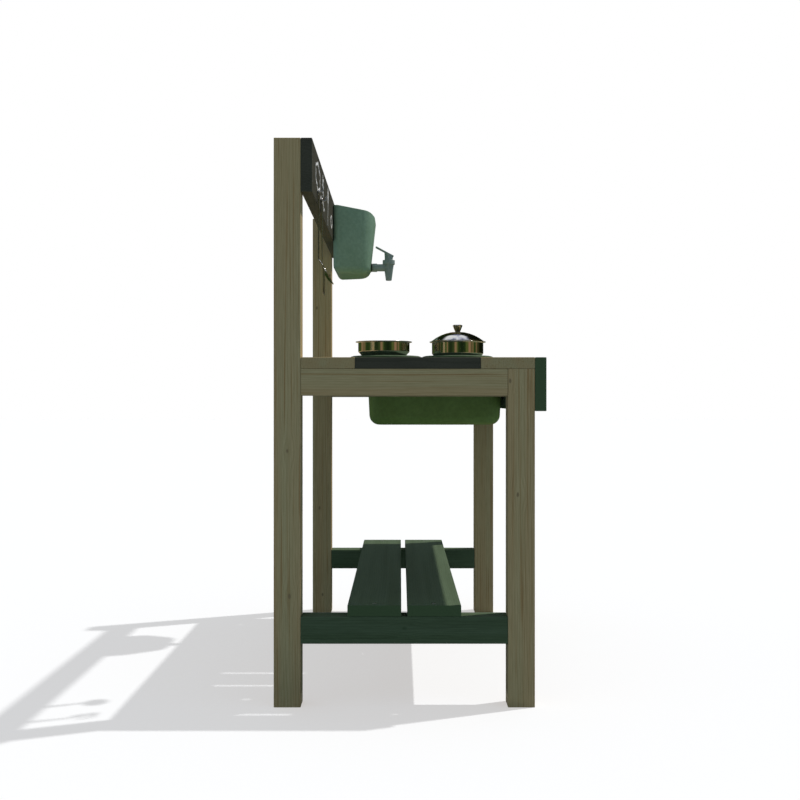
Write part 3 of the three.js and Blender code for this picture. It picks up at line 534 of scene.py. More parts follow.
def together(*shapes):
    """Several shapes as one, each keeping its own skin."""
    points, faces = [], []
    for shape_points, shape_faces in shapes:
        first = len(points)
        points.extend(shape_points)
        faces.extend([first + i for i in face] for face in shape_faces)
    return points, faces


def shape_of(mesh):
    """A mesh's points and faces as a shape."""
    return [v.co.copy() for v in mesh.vertices], [list(p.vertices) for p in mesh.polygons]


def mesh_of(name, shape):
    """A mesh with its faces facing out and its doubled points joined, still in millimetres."""
    mesh = bpy.data.meshes.new(name)
    points, faces = shape
    mesh.from_pydata([tuple(point) for point in points], [], [tuple(face) for face in faces])
    bm = bmesh.new()
    bm.from_mesh(mesh)
    bmesh.ops.remove_doubles(bm, verts=bm.verts, dist=WELD)
    bmesh.ops.recalc_face_normals(bm, faces=bm.faces)
    bm.to_mesh(mesh)
    bm.free()
    return mesh


def used_up(*blanks):
    """The shape of the first blank with its modifiers applied. All the blanks are removed."""
    for blank in blanks:
        bpy.context.scene.collection.objects.link(blank)
    depsgraph = bpy.context.evaluated_depsgraph_get()
    shape = shape_of(bpy.data.meshes.new_from_object(blanks[0].evaluated_get(depsgraph)))
    for blank in blanks:
        bpy.data.objects.remove(blank)
    return shape


def combined(operation, first, *others):
    """Joins (UNION) or cuts (DIFFERENCE) closed shapes."""
    for other in others:
        pair = [bpy.data.objects.new("blank", mesh_of("blank", shape)) for shape in (first, other)]
        modifier = pair[0].modifiers.new("combine", "BOOLEAN")
        modifier.operation, modifier.solver, modifier.object = operation, "EXACT", pair[1]
        first = used_up(*pair)
    return first


def sheet_steel(outline, holes, thickness, edge):
    """A flat blank in the XY plane with holes and softened edges, centred on its thickness."""
    curve = bpy.data.curves.new("blank", "CURVE")
    curve.dimensions, curve.fill_mode = "2D", "BOTH"
    curve.extrude, curve.offset = thickness / 2 - edge, -edge
    curve.bevel_depth, curve.bevel_resolution = edge, 2
    for line in [outline, *holes]:
        spline = curve.splines.new("POLY")
        spline.points.add(len(line) - 1)
        for point, (x, y) in zip(spline.points, line):
            point.co = (x, y, 0, 1)
        spline.use_cyclic_u = True
    return used_up(bpy.data.objects.new("blank", curve))


def bent(shape, line):
    """Bends a flat strip, which runs along +X from zero, along a 2-D line in the XZ plane."""
    lengths = [0]
    for start, end in zip(line, line[1:]):
        lengths.append(lengths[-1] + (end - start).length)
    mesh = mesh_of("blank", shape)
    bm = bmesh.new()
    bm.from_mesh(mesh)
    for length in lengths[1:-1]:
        everything = bm.verts[:] + bm.edges[:] + bm.faces[:]
        bmesh.ops.bisect_plane(bm, geom=everything, plane_co=(length, 0, 0), plane_no=(1, 0, 0))
    ways = [(end - start).normalized() for start, end in zip(line, line[1:])]
    corners = [(a + b).normalized() for a, b in zip(ways[:1] + ways, ways + ways[-1:])]
    for vertex in bm.verts:
        i = min(max(sum(length <= vertex.co.x for length in lengths) - 1, 0), len(ways) - 1)
        share = (vertex.co.x - lengths[i]) / (lengths[i + 1] - lengths[i])
        base = line[i].lerp(line[i + 1], share)
        way = corners[i].lerp(corners[i + 1], min(max(share, 0), 1)).normalized()
        vertex.co = (base.x - way.y * vertex.co.z, vertex.co.y, base.y + way.x * vertex.co.z)
    bm.to_mesh(mesh)
    bm.free()
    return shape_of(mesh)


def wire(points, radius):
    """A round wire along 3-D points, with domed ends."""
    sides, steps, flat_angle = SMALL_SIDES // 2, 4, 0.1
    angles = [2 * math.pi * i / sides for i in range(sides)]
    ways = [(b - a).normalized() for a, b in zip(points, points[1:])]
    ways = [(a + b).normalized() for a, b in zip(ways[:1] + ways, ways + ways[-1:])]
    dome = [math.sin(math.pi / 2 * step / steps + flat_angle) for step in range(steps)]
    places = [(points[0] + ways[0] * radius * (1 - share), ways[0], radius * share) for share in dome]
    places += [(middle, way, radius) for middle, way in zip(points[1:-1], ways[1:-1])]
    end, back = points[-1], -ways[-1]
    places += [(end + back * radius * (1 - share), ways[-1], radius * share) for share in reversed(dome)]
    across = ways[0].orthogonal().normalized()
    rings = []
    for middle, way, size in places:
        across = (across - way * across.dot(way)).normalized()
        other = way.cross(across)
        rings.append([middle + (across * math.cos(a) + other * math.sin(a)) * size for a in angles])
    return loft(rings)


def piece(name, shape, finish, at=(0, 0, 0), node=None, body="kitchen"):
    """Makes a shown piece from a shape, in place. It rides on its body, and hides the node that it takes the
    place of.
    """
    mesh = mesh_of(name, shape)
    mesh.transform(Matrix.Scale(MM, 4))
    mesh.materials.append(FINISHES[finish])
    mesh.shade_smooth()
    mesh.set_sharp_from_angle(angle=SHARP_ANGLE)
    made = bpy.data.objects.new(name, mesh)
    made.location = Vector(at) * MM
    bpy.context.scene.collection.objects.link(made)
    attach(made, body)
    if node:
        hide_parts(node)
    return made


def box(node):
    """A node's lowest corner, highest corner and middle, in millimetres."""
    low, high = (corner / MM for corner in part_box(node))
    return low, high, (low + high) / 2


# Timbers


# The timbers that share the way they run, the way they are widest, and their finish
TIMBERS = {
    ("Z", "Y", "planed_pine"): ["back_post_left", "back_post_right", "front_leg_left", "front_leg_right"],
    ("Y", "Z", "planed_pine"): ["upper_side_rail_left", "upper_side_rail_right", "worktop_bearer"],
    ("X", "Y", "planed_pine"): [
        "worktop_back_board",
        "worktop_front_board",
        "slat_batten_front",
        "slat_batten_back",
    ],
    ("Y", "X", "planed_pine"): ["worktop_middle_slat", "sink_strip_left", "sink_strip_right"],
    ("Y", "Z", "green_stained_pine"): ["lower_side_rail_left", "lower_side_rail_right"],
    ("X", "Y", "green_stained_pine"): ["shelf_board_front", "shelf_board_back"],
    ("X", "Z", "green_stained_pine"): ["front_apron"],
    ("Y", "X", "black_painted_pine"): ["hob_slat_1", "hob_slat_2", "hob_slat_3", "hob_slat_4"],
    ("X", "Z", "black_painted_pine"): ["chalkboard_beam"],
}
AXES = {"X": Vector((1, 0, 0)), "Y": Vector((0, 1, 0)), "Z": Vector((0, 0, 1))}
# How far apart in the tree the timbers are sawn: across it, through it and along it
TREE_STEPS = (137, 61, 811)


def give_grain(mesh, along, across, number):
    """Stores each point's place in the tree, in millimetres, and which faces show end grain.

    Each timber is sawn from its own part of the tree, so its number moves it through the grain.
    """
    way = AXES[along]
    side = AXES[across]
    axes = (side, way.cross(side), way)
    grain = mesh.attributes.new("grain", "FLOAT_VECTOR", "POINT")
    for vertex, value in zip(mesh.vertices, grain.data):
        place = vertex.co / MM
        value.vector = [place.dot(axis) + step * number for axis, step in zip(axes, TREE_STEPS)]
    ends = mesh.attributes.new("end_grain", "FLOAT", "FACE")
    for face, value in zip(mesh.polygons, ends.data):
        value.value = float(abs(face.normal.dot(way)) > 0.9)


def timber_shape(along, size):
    """A planed timber about its middle, with small round edges and eased ends."""
    way = AXES[along]
    side = AXES["XYZ"["XYZ".index(along) - 2]]
    turn = Matrix((side, way.cross(side), way)).transposed().to_4x4()
    width, height, length = (abs(size.dot(axis)) for axis in (side, way.cross(side), way))

    def ring(inset, z):
        return level_ring(width / 2 - inset, height / 2 - inset, TIMBER_EDGE["arris"] - inset / 2, z)

    levels = [(inset, length / 2 - drop) for inset, drop in round_over(TIMBER_EDGE["end"])]
    rings = [ring(inset, -z) for inset, z in levels] + [ring(inset, z) for inset, z in reversed(levels)]
    return changed(loft(rings), turn)


def make_timbers(holes):
    """Planed timbers in the space that the frame gives, drilled for their screws and hooks."""
    number = 0
    for (along, across, finish), names in TIMBERS.items():
        for name in names:
            number += 1
            low, high, middle = box(name)
            shape = timber_shape(along, high - low)
            if name in holes:
                shape = combined("DIFFERENCE", shape, moved(together(*holes[name]), *-middle))
            made = piece(f"planed_{name}", shape, finish, middle, name)
            made.modifiers.new("flat_faces", "WEIGHTED_NORMAL").keep_sharp = True
            give_grain(made.data, along, across, number)


# Hob plates and pans


HOB_PLATE = {"edge_height": 6.2, "bevel": 5, "edge": 0.6, "shoulder": 1.6}


def make_hob_plates():
    """Discs turned from stained board, bevelled, with a countersunk hole for the screw under the pan."""
    screw = SCREWS["plate"]
    bore, sink = screw["shank"] + SCREW_CLEARANCE, screw["head"] + SCREW_CLEARANCE
    for number, side in enumerate(("back", "front")):
        node = f"hob_plate_{side}"
        low, high, middle = box(node)
        radius, height = (high.x - low.x) / 2, high.z - low.z
        flat = height - SCREW_SINK
        corners = [
            (bore, 0),
            (radius, 0),
            (radius, HOB_PLATE["edge_height"]),
            (radius - HOB_PLATE["bevel"], height),
            (sink, height),
            (sink, flat - screw["lip"]),
            (bore, flat - screw["head_height"]),
        ]
        radii = [0, HOB_PLATE["edge"], HOB_PLATE["shoulder"], HOB_PLATE["bevel"] / 2, 0, 0, 0]
        shape = turned(rounded_line(corners, radii, closed=True), closed=True)
        made = piece(f"turned_{node}", shape, "green_stained_pine", (middle.x, middle.y, low.z), node)
        give_grain(made.data, "X", "Y", number)


# Each pan's foot: how far it is set in, how high it rises to the wall, and its two roundings
PANS = {
    "frying_pan": {"inset": 6.8, "height": 7.4, "foot_round": 2.5, "belly_round": 3.2},
    "saucepan": {"inset": 3.5, "height": 4, "foot_round": 1.8, "belly_round": 2.5},
}
PAN_WALL = 1.4
PAN_RIM = {"width": 4.5, "thickness": 1.6, "edge_share": 0.48, "under_round": 0.9, "mouth_round": 2}
HANDLE = {"width": 14, "thickness": 2.2, "tab": 11, "shoulder": 9, "rise": 8, "hole": 2.5, "edge": 0.45}
HANDLE_ROUND = {"bend": 2.6, "sweep": 9, "heel": 2, "end_share": 0.98}
RIVET = {"radius": 2, "height": 1, "round": 0.7, "spacing": 7.4, "level_share": 0.45}


def make_pans():
    """Spun steel pans with a flat rim, each with a strap handle on two rivets."""
    for name, foot in PANS.items():
        low, high, middle = box(name)
        top = high.z - low.z
        rim = (high.x - low.x) / 2
        under = top - PAN_RIM["thickness"]
        radius = rim - PAN_RIM["width"]
        foot_radius = radius - foot["inset"]
        corners = [
            (0, 0),
            (foot_radius, 0),
            (radius, foot["height"]),
            (radius, under),
            (rim, under),
            (rim, top),
            (radius - PAN_WALL, top),
            (radius - PAN_WALL, foot["height"] + PAN_WALL / 2),
            (foot_radius - PAN_WALL / 2, PAN_WALL),
            (0, PAN_WALL),
        ]
        edge = PAN_RIM["thickness"] * PAN_RIM["edge_share"]
        belly, toe = foot["belly_round"], foot["foot_round"]
        radii = [0, toe, belly, PAN_RIM["under_round"], edge, edge, PAN_RIM["mouth_round"]]
        radii += [belly - PAN_WALL, toe - PAN_WALL / 2, 0]
        place = (middle.x, middle.y, low.z)
        piece(f"spun_{name}", turned(rounded_line(corners, radii)), "spun_steel", place, name, name)
        make_handle(name, place)


def make_handle(pan, place):
    """A strap of sheet steel, bent out from the pan's wall, with a hole in its round end and two rivets."""
    node = f"{pan}_handle"
    low, high, _ = box(node)
    start = low.x - place[0] + HANDLE["thickness"] / 2
    end = high.x - place[0]
    foot = low.z - place[2]
    top = foot + HANDLE["tab"]
    corners = [(start, foot), (start, top), (start + HANDLE["shoulder"], top), (end, top + HANDLE["rise"])]
    line = rounded_line(corners, [0, HANDLE_ROUND["bend"], HANDLE_ROUND["sweep"], 0])
    length = sum((b - a).length for a, b in zip(line, line[1:]))
    half = HANDLE["width"] / 2
    heel, tip = HANDLE_ROUND["heel"], half * HANDLE_ROUND["end_share"]
    corners = [(0, -half), (length, -half), (length, half), (0, half)]
    outline = rounded_line(corners, [heel, tip, tip, heel], True)
    hole = arc((length - half, 0), HANDLE["hole"], 0, 2 * math.pi)[:-1]
    strap = bent(sheet_steel(outline, [hole], HANDLE["thickness"], HANDLE["edge"]), line)
    piece(f"strap_{node}", strap, "brushed_steel", place, node, pan)

    radius, height = RIVET["radius"], RIVET["height"]
    profile = rounded_line([(0, 0), (radius, 0), (radius, height), (0, height)], [0, 0, RIVET["round"], 0])
    head = spun(turned(profile, SMALL_SIDES), 90, "Y")
    x = place[0] + start + HANDLE["thickness"] / 2
    z = place[2] + foot + HANDLE["tab"] * RIVET["level_share"]
    for side, away in (("front", -RIVET["spacing"] / 2), ("back", RIVET["spacing"] / 2)):
        at = (x, place[1] + away, z)
        piece(f"{pan}_rivet_{side}", head, "zinc_steel", at, body=pan)


LID = {"lip": 1.2, "wall": 1.2, "spigot": 4, "spigot_clearance": 1.2, "hole": 1.7, "overlap": 0.5}
LID_DOME = {"radius": 74, "seat": 12.7}
LID_ROUND = {"edge": 0.4, "crease": 0.1}
KNOB = {"foot": 4.4, "waist": 6.6, "waist_share": 0.44, "bore": 1.7, "bite": 8.3, "lip": 1.8}
KNOB_ROUND = {"bore": 0.3, "foot": 0.5, "waist": 12, "under": 0.5, "side": 0.4, "top": 1.2}


def make_lid():
    """A pressed dome with a flat seat for its knob and a spigot inside the saucepan."""
    low, high, middle = box("saucepan_lid")
    base = low.z + LID["spigot"]
    top = high.z - base
    radius = (high.x - low.x) / 2
    spigot = radius - LID["overlap"] - PAN_WALL - LID["spigot_clearance"]
    sphere, seat = LID_DOME["radius"], LID_DOME["seat"]
    centre = top - math.sqrt(sphere**2 - seat**2)
    first, last = math.asin((LID["lip"] - centre) / sphere), math.acos(seat / sphere)

    def skin(inset):
        return [*arc((0, centre), sphere - inset, first, last), Vector((LID["hole"], top - inset))]

    outside = skin(0)
    inside = skin(LID["wall"])
    edge, crease = LID_ROUND["edge"], LID_ROUND["crease"]
    corners = [(spigot, 0), (radius, 0), (radius, LID["lip"]), outside[0], outside[1]]
    flange = rounded_line(corners, [0, edge, edge, crease, 0])
    wall = spigot - LID["wall"]
    profile = [Vector((wall, -LID["spigot"])), Vector((spigot, -LID["spigot"])), *flange, *outside[2:]]
    profile += [*reversed(inside[1:]), Vector((wall, 0))]
    lid = turned(profile, closed=True)
    piece("pressed_saucepan_lid", lid, "spun_steel", (middle.x, middle.y, base), "saucepan_lid", "lid")


def make_knob():
    """The lid's turned knob, a cone on a narrow foot, bored for its screw."""
    low, high, middle = box("lid_knob")
    height, rim = high.z - low.z, (high.x - low.x) / 2
    bore, bite, lip = KNOB["bore"], KNOB["bite"], KNOB["lip"]
    corners = [
        (0, bite),
        (bore, bite),
        (bore, 0),
        (KNOB["foot"], 0),
        (KNOB["waist"], height * KNOB["waist_share"]),
        (rim, height - lip),
        (rim, height - lip / 2),
        (rim - lip, height),
        (0, height),
    ]
    knob = turned(rounded_line(corners, [0, 0, *KNOB_ROUND.values(), 0]), SMALL_SIDES)
    piece("turned_lid_knob", knob, "spun_steel", (middle.x, middle.y, low.z), "lid_knob", "lid")


# Tubs: the sink and the tank are lofts through rounded rings


def rim_levels(wall, edge):
    """Steps over a rounded rim from outside to inside: how far each is set in, and how far below the top."""
    outer = round_over(edge)[::-1]
    return outer + [(wall - inset, drop) for inset, drop in reversed(outer)]


SINK = {
    "depth": 125, "wall": 3, "draft": 6, "corner": 38, "fillet": 20, "neck": 1, "neck_out": 0.6,
    "flange_width": 10, "flange_thickness": 3, "edge": 1.2, "under_edge_share": 0.6,
}


def make_sink():
    """A moulded tub with a flange that lies on the worktop."""
    wall, depth, flange, edge = SINK["wall"], SINK["depth"], SINK["flange_width"], SINK["edge"]
    low, high, middle = box("sink_tub")
    half_x, half_y = (high.x - low.x) / 2 - flange, (high.y - low.y) / 2 - flange

    def ring(outward, z):
        return level_ring(half_x + outward, half_y + outward, SINK["corner"] + outward, z, CORNER_STEPS)

    def walls(inset, foot, radius):
        levels = [(inset + set_in, foot + rise) for set_in, rise in round_over(radius, FILLET_STEPS)]
        return [ring(SINK["draft"] * z / depth - set_in, z) for set_in, z in levels]

    rings = walls(0, -depth, SINK["fillet"])
    rings += [ring(0, -SINK["neck"]), ring(SINK["neck_out"], 0)]
    rings += [ring(flange - edge, 0), ring(flange, edge * SINK["under_edge_share"])]
    rim = rim_levels(flange + wall, edge)
    rings += [ring(flange - inset, SINK["flange_thickness"] - drop) for inset, drop in rim]
    rings += reversed(walls(wall, wall - depth, SINK["fillet"] - wall))
    place = (middle.x, middle.y, high.z - SINK["flange_thickness"])
    piece("moulded_sink_tub", loft(rings), "green_polypropylene", place, "sink_tub", "sink")


TANK = {
    "width": 216, "front_width": 152, "depth": 90.5, "height": 146, "wall": 2.5, "draft_share": 0.089,
    "back_radius": 8, "least_radius": 0.5, "front_radius": 38, "fillet": 16, "level": 20, "drop": 12,
    "edge": 1.1,
}
TANK_NOSE = {"depth": 19.5, "radius": 26}
TAP_DROP = 126
TAP_BOSS = {"radius": 11, "outside": 0.5, "inside": 3.5, "hole": 6.9, "edge": 0.3}


def tank_outline(drop, inset):
    """The tank's outline at a distance below its top, set in from its outside."""
    taper = TANK["draft_share"] * drop
    half_back, half_front = TANK["width"] / 2 - taper, TANK["front_width"] / 2 - taper
    depth = TANK["depth"] - taper
    slope = (half_back - half_front) / depth
    slant = math.hypot(1, slope)
    back = half_back - (slope + slant) * inset
    front = half_front + (slope - slant) * inset
    corners = [(-back, -inset), (-front, inset - depth), (front, inset - depth), (back, -inset)]
    behind = max(TANK["back_radius"] - inset, TANK["least_radius"])
    ahead = TANK["front_radius"] - inset
    return rounded_line(corners, [behind, ahead, ahead, behind], True, CORNER_STEPS)


def tank_rim(y):
    """The rim's height: it is level behind, falls towards the front, and rounds off over the nose."""
    past_level = max(0, -y - TANK["level"])
    into_nose = max(0, TANK_NOSE["depth"] - TANK["depth"] - y)
    fall = TANK["drop"] * past_level / (TANK["depth"] - TANK["level"])
    return -fall - (TANK_NOSE["radius"] - math.sqrt(TANK_NOSE["radius"] ** 2 - into_nose**2))


def make_tank():
    """A tapered bucket with a flat back, a rounded nose and a boss for the tap."""
    wall, height = TANK["wall"], TANK["height"]

    def walls(inset, foot, radius):
        levels = [(inset + set_in, foot + rise) for set_in, rise in round_over(radius, FILLET_STEPS)]
        return [[(x, y, z) for x, y in tank_outline(-z, set_in)] for set_in, z in levels]

    rings = walls(0, -height, TANK["fillet"])
    for inset, drop in rim_levels(wall, TANK["edge"]):
        rings.append([(x, y, tank_rim(y) - drop) for x, y in tank_outline(0, inset)])
    rings += reversed(walls(wall, wall - height, TANK["fillet"] - wall))
    share, radius = TANK["draft_share"], TAP_BOSS["radius"]
    boss_front = share * (TAP_DROP - radius) - TANK["depth"] - TAP_BOSS["outside"]
    boss_back = share * (TAP_DROP + radius) - TANK["depth"] + wall + TAP_BOSS["inside"]
    boss = moved(rod(radius, boss_front, boss_back, TAP_BOSS["edge"]), z=-TAP_DROP)
    hole = moved(rod(TAP_BOSS["hole"], boss_front - OVERRUN, boss_back + OVERRUN), z=-TAP_DROP)
    shape = combined("DIFFERENCE", combined("UNION", loft(rings), boss), hole)
    _, high, middle = box("water_tank")
    bore = rod(SCREWS["wall"]["shank"] + SCREW_CLEARANCE, -2 * wall, wall)
    for side in ("left", "right"):
        screw = box(f"tank_screw_{side}")[2]
        shape = combined("DIFFERENCE", shape, moved(bore, x=screw.x - middle.x, z=screw.z - high.z))
    piece("moulded_water_tank", shape, "sage_polypropylene", (middle.x, high.y, high.z), "water_tank")


# Tap


TAP_REACH = 39.5
BARREL = {"below": 29, "foot": 6.5, "shoulder": 7, "shoulder_radius": 11.4, "top": 17, "top_radius": 13.8}
BARREL_ROUND = {"edge": 0.8, "crease": 0.3}
SEAT = {"bottom": 22, "bottom_radius": 5.3, "top_radius": 8, "outlet": 4}
PIPE = {"radius": 8.2, "bore": 4.2, "edge": 0.2}
COLLAR = {"radius": 9.5, "length": 11, "edge": 1}
STUB = {"radius": 6.5, "edge": 0.6}
# The finish, the number of sides and the rounded edge of the rings on the stub
TAP_RINGS = {"tap_washer": ("black_rubber", SMALL_SIDES, 0.4), "tap_nut": ("grey_plastic", 6, 0.5)}


def make_tap():
    """A plug tap: a pipe with a collar, a tapered barrel, a washer, and a nut inside the tank."""
    washer_low, washer_high, washer_middle = box("tap_washer")
    place = (washer_middle.x, washer_high.y, washer_middle.z)
    stub_end, face = box("tap_body")[1].y - place[1], washer_low.y - place[1] - FIT_GAP
    foot, top, edge = -BARREL["below"], BARREL["top"], BARREL_ROUND["edge"]
    corners = [
        (0, foot),
        (BARREL["foot"], foot),
        (BARREL["shoulder_radius"], BARREL["shoulder"]),
        (BARREL["top_radius"], BARREL["shoulder"]),
        (BARREL["top_radius"], top),
        (0, top),
    ]
    barrel = turned(rounded_line(corners, [0, edge, BARREL_ROUND["crease"], edge, edge, 0]))
    seat = turned(
        [
            (0, foot - OVERRUN),
            (SEAT["outlet"], foot - OVERRUN),
            (SEAT["outlet"], -SEAT["bottom"]),
            (SEAT["bottom_radius"], -SEAT["bottom"]),
            (SEAT["top_radius"], top),
            (SEAT["top_radius"], top + OVERRUN),
            (0, top + OVERRUN),
        ]
    )
    pipe = rod(PIPE["radius"], -TAP_REACH, face, PIPE["edge"])
    collar = rod(COLLAR["radius"], face - COLLAR["length"], face, COLLAR["edge"])
    stub = rod(STUB["radius"], -TAP_REACH / 2, stub_end, STUB["edge"])
    bore = rod(PIPE["bore"], -TAP_REACH, stub_end + OVERRUN)
    solid = combined("UNION", moved(barrel, y=-TAP_REACH), pipe, collar, stub)
    shape = combined("DIFFERENCE", solid, moved(seat, y=-TAP_REACH), bore)
    piece("moulded_tap_body", shape, "grey_plastic", place, "tap_body")

    for node, (finish, sides, edge) in TAP_RINGS.items():
        low, high, middle = box(node)
        half, outer = (high.y - low.y) / 2, (high.z - low.z) / 2
        hole = rod(TAP_BOSS["hole"], -half - OVERRUN, half + OVERRUN)
        ring = combined("DIFFERENCE", rod(outer, -half, half, edge, sides), hole)
        piece(f"moulded_{node}", spun(ring, 90, "Y"), finish, middle, node)
    make_lever((place[0], place[1] - TAP_REACH, place[2]))


LEVER = {"width": 13, "thickness": 3.6, "front": 10.6, "front_rise": 25.6, "back": 29.5, "back_rise": 47}
LEVER_ROUND = {"tip": 5, "heel": 1.6, "edge": 0.9}
PLUG = {"neck": 9, "neck_top": 9.8, "chamfer": 0.6, "bore": 3}


def make_lever(place):
    """A tapered plug that turns in the barrel, with a thumb lever that rises towards the tank."""
    taper = (SEAT["top_radius"] - SEAT["bottom_radius"]) / (BARREL["top"] + SEAT["bottom"])
    foot, top = FIT_GAP - SEAT["bottom"], FIT_GAP + BARREL["top"]
    run, rise = LEVER["back"] + LEVER["front"], LEVER["back_rise"] - LEVER["front_rise"]
    slope, length = rise / run, math.hypot(run, rise)
    neck, chamfer, bore = PLUG["neck"], PLUG["chamfer"], PLUG["bore"]
    angles = [2 * math.pi * i / SMALL_SIDES for i in range(SMALL_SIDES)]

    def ring(radius, height, lean=0):
        circle = [(radius * math.cos(a), radius * math.sin(a)) for a in angles]
        return [(x, y, height + lean * y) for x, y in circle]

    def plug_radius(z):
        return SEAT["bottom_radius"] + taper * (z + SEAT["bottom"]) - FIT_GAP

    stem = loft(
        [
            ring(plug_radius(foot), foot),
            ring(plug_radius(top), top),
            ring(neck - chamfer, top),
            ring(neck, top + chamfer),
            ring(PLUG["neck_top"], LEVER["front_rise"] + slope * LEVER["front"], slope),
        ]
    )
    across = SEAT["top_radius"] * 2
    port = spun(turned([(0, 0), (bore, 0), (bore, across), (0, across)], SMALL_SIDES), 90, "Y")
    way_down = turned([(0, foot * 2), (bore, foot * 2), (bore, bore), (0, bore)], SMALL_SIDES)
    stem = combined("DIFFERENCE", stem, port, way_down)

    def blade_ring(inset, z):
        half, end = LEVER["width"] / 2 - inset, length - inset
        tip, heel = LEVER_ROUND["tip"] - inset, LEVER_ROUND["heel"] - inset
        corners = [(-half, inset), (half, inset), (half, end), (-half, end)]
        return [(x, y, z) for x, y in rounded_line(corners, [heel, heel, tip, tip], True, CORNER_STEPS)]

    levels = [(inset, drop - LEVER["thickness"] / 2) for inset, drop in round_over(LEVER_ROUND["edge"], 3)]
    levels += [(inset, -z) for inset, z in reversed(levels)]
    blade = spun(loft([blade_ring(inset, z) for inset, z in levels]), math.degrees(math.atan(slope)), "X")
    lever = combined("UNION", stem, moved(blade, y=-LEVER["front"], z=LEVER["front_rise"]))
    piece("moulded_tap_lever", lever, "grey_plastic", place, "tap_lever", "tap_lever")


# Hooks and utensils


HOOK_DROP = 70
HOOK = {"radius": 1.5, "in_wood": 14, "reach": 10, "rise": 9, "bend": 3.5}
HOOK_COLLAR = {"radius": 4, "thickness": 0.7}


def make_hooks():
    """Cup hooks of bent wire, screwed into the beam up to a small collar. Gives the holes that they need."""
    beam_low, beam_high, _ = box("chalkboard_beam")
    corners = [(HOOK["in_wood"], 0), (-HOOK["reach"], 0), (-HOOK["reach"], HOOK["rise"])]
    line = [Vector((0, y, z)) for y, z in rounded_line(corners, [0, HOOK["bend"], 0])]
    collar = rod(HOOK_COLLAR["radius"], -FIT_GAP - HOOK_COLLAR["thickness"], -FIT_GAP, FIT_GAP)
    shape = combined("UNION", wire(line, HOOK["radius"]), collar)
    hole = rod(HOOK["radius"] + FIT_GAP, -HOOK["reach"], HOOK["in_wood"] + FIT_GAP)
    holes = []
    for side in ("left", "right"):
        node = f"utensil_hook_{side}"
        at = (box(node)[2].x, beam_low.y, beam_high.z - HOOK_DROP)
        piece(f"bent_{node}", shape, "zinc_steel", at, node)
        holes.append(moved(hole, *at))
    return holes


UTENSIL = {"thickness": 2, "top": 6.5, "neck": 4, "hole": 3, "handle": 118, "drop": 1.2, "edge": 0.5}
TURNER = {"half": 20, "shoulder": 12, "length": 182, "forward": 9, "bend": 14, "steel": 1.6}
TURNER_ROUND = {"neck": 10, "shoulder": 5, "tip": 6, "bend": 9}
SLOT = {"half": 2, "spacing": 11, "from_tip": 13, "from_shoulder": 6}
SPOON = {"half_width": 22, "half_length": 21, "depth": 5, "steel": 1.6, "tilt": 30, "overlap": 5}
SPOON_ROUND = {"bend": 5, "brim": 0.5, "steps": 14}


def hung(shape, top):
    """Hangs a strip that runs along +X down from a height, with its upper side to the front."""
    return changed(shape, Matrix(((0, 1, 0, 0), (0, 0, -1, 0), (-1, 0, 0, top), (0, 0, 0, 1))))


def make_utensils():
    """The turner and the spoon, hung by the round tops of their handles."""
    beam_high = box("chalkboard_beam")[1]
    centre = (UTENSIL["top"], 0)
    head = arc(centre, UTENSIL["top"], math.pi * 0.5, math.pi * 1.5)
    hole = arc(centre, UTENSIL["hole"], 0, 2 * math.pi)[:-1]
    top = UTENSIL["top"] - UTENSIL["drop"]
    for node, shape_from in (("turner", turner_shape), ("serving_spoon", spoon_shape)):
        _, high, middle = box(node)
        place = (middle.x, high.y - UTENSIL["thickness"] / 2, beam_high.z - HOOK_DROP)
        piece(f"pressed_{node}", shape_from(top, head, hole), "brushed_steel", place, node, node)


def turner_shape(top, head, hole):
    """A slotted turner, cut from one sheet and cranked forward above its blade."""
    neck_at = top + UTENSIL["handle"]
    slant = math.hypot(TURNER["forward"], TURNER["bend"])
    shoulder_at = neck_at + TURNER["shoulder"] * (slant / TURNER["bend"])
    blade_from = neck_at + slant
    tip_at = blade_from + TURNER["length"] - UTENSIL["handle"] - TURNER["bend"]
    side = [(neck_at, -UTENSIL["neck"]), (shoulder_at, -TURNER["half"]), (tip_at, -TURNER["half"])]
    radii = [TURNER_ROUND["neck"], TURNER_ROUND["shoulder"], TURNER_ROUND["tip"]]
    other_side = [(x, -y) for x, y in reversed(side)]
    blade = rounded_line(side + other_side, radii + radii[::-1], closed=True)
    slot, right = SLOT["half"], math.pi / 2
    low = tip_at - SLOT["from_tip"] - slot
    high = blade_from + SLOT["from_shoulder"] + TURNER["shoulder"] - TURNER["bend"]
    slots = [
        arc((low, y), slot, -right, right) + arc((high, y), slot, right, math.pi * 1.5)
        for y in (-SLOT["spacing"], 0, SLOT["spacing"])
    ]
    blank = sheet_steel(head + blade, [hole, *slots], TURNER["steel"], UTENSIL["edge"])
    line = [(0, 0), (neck_at, 0), (neck_at + TURNER["bend"], TURNER["forward"]), (tip_at, TURNER["forward"])]
    crank = TURNER_ROUND["bend"]
    return hung(bent(blank, rounded_line(line, [0, crank, crank, 0])), top)


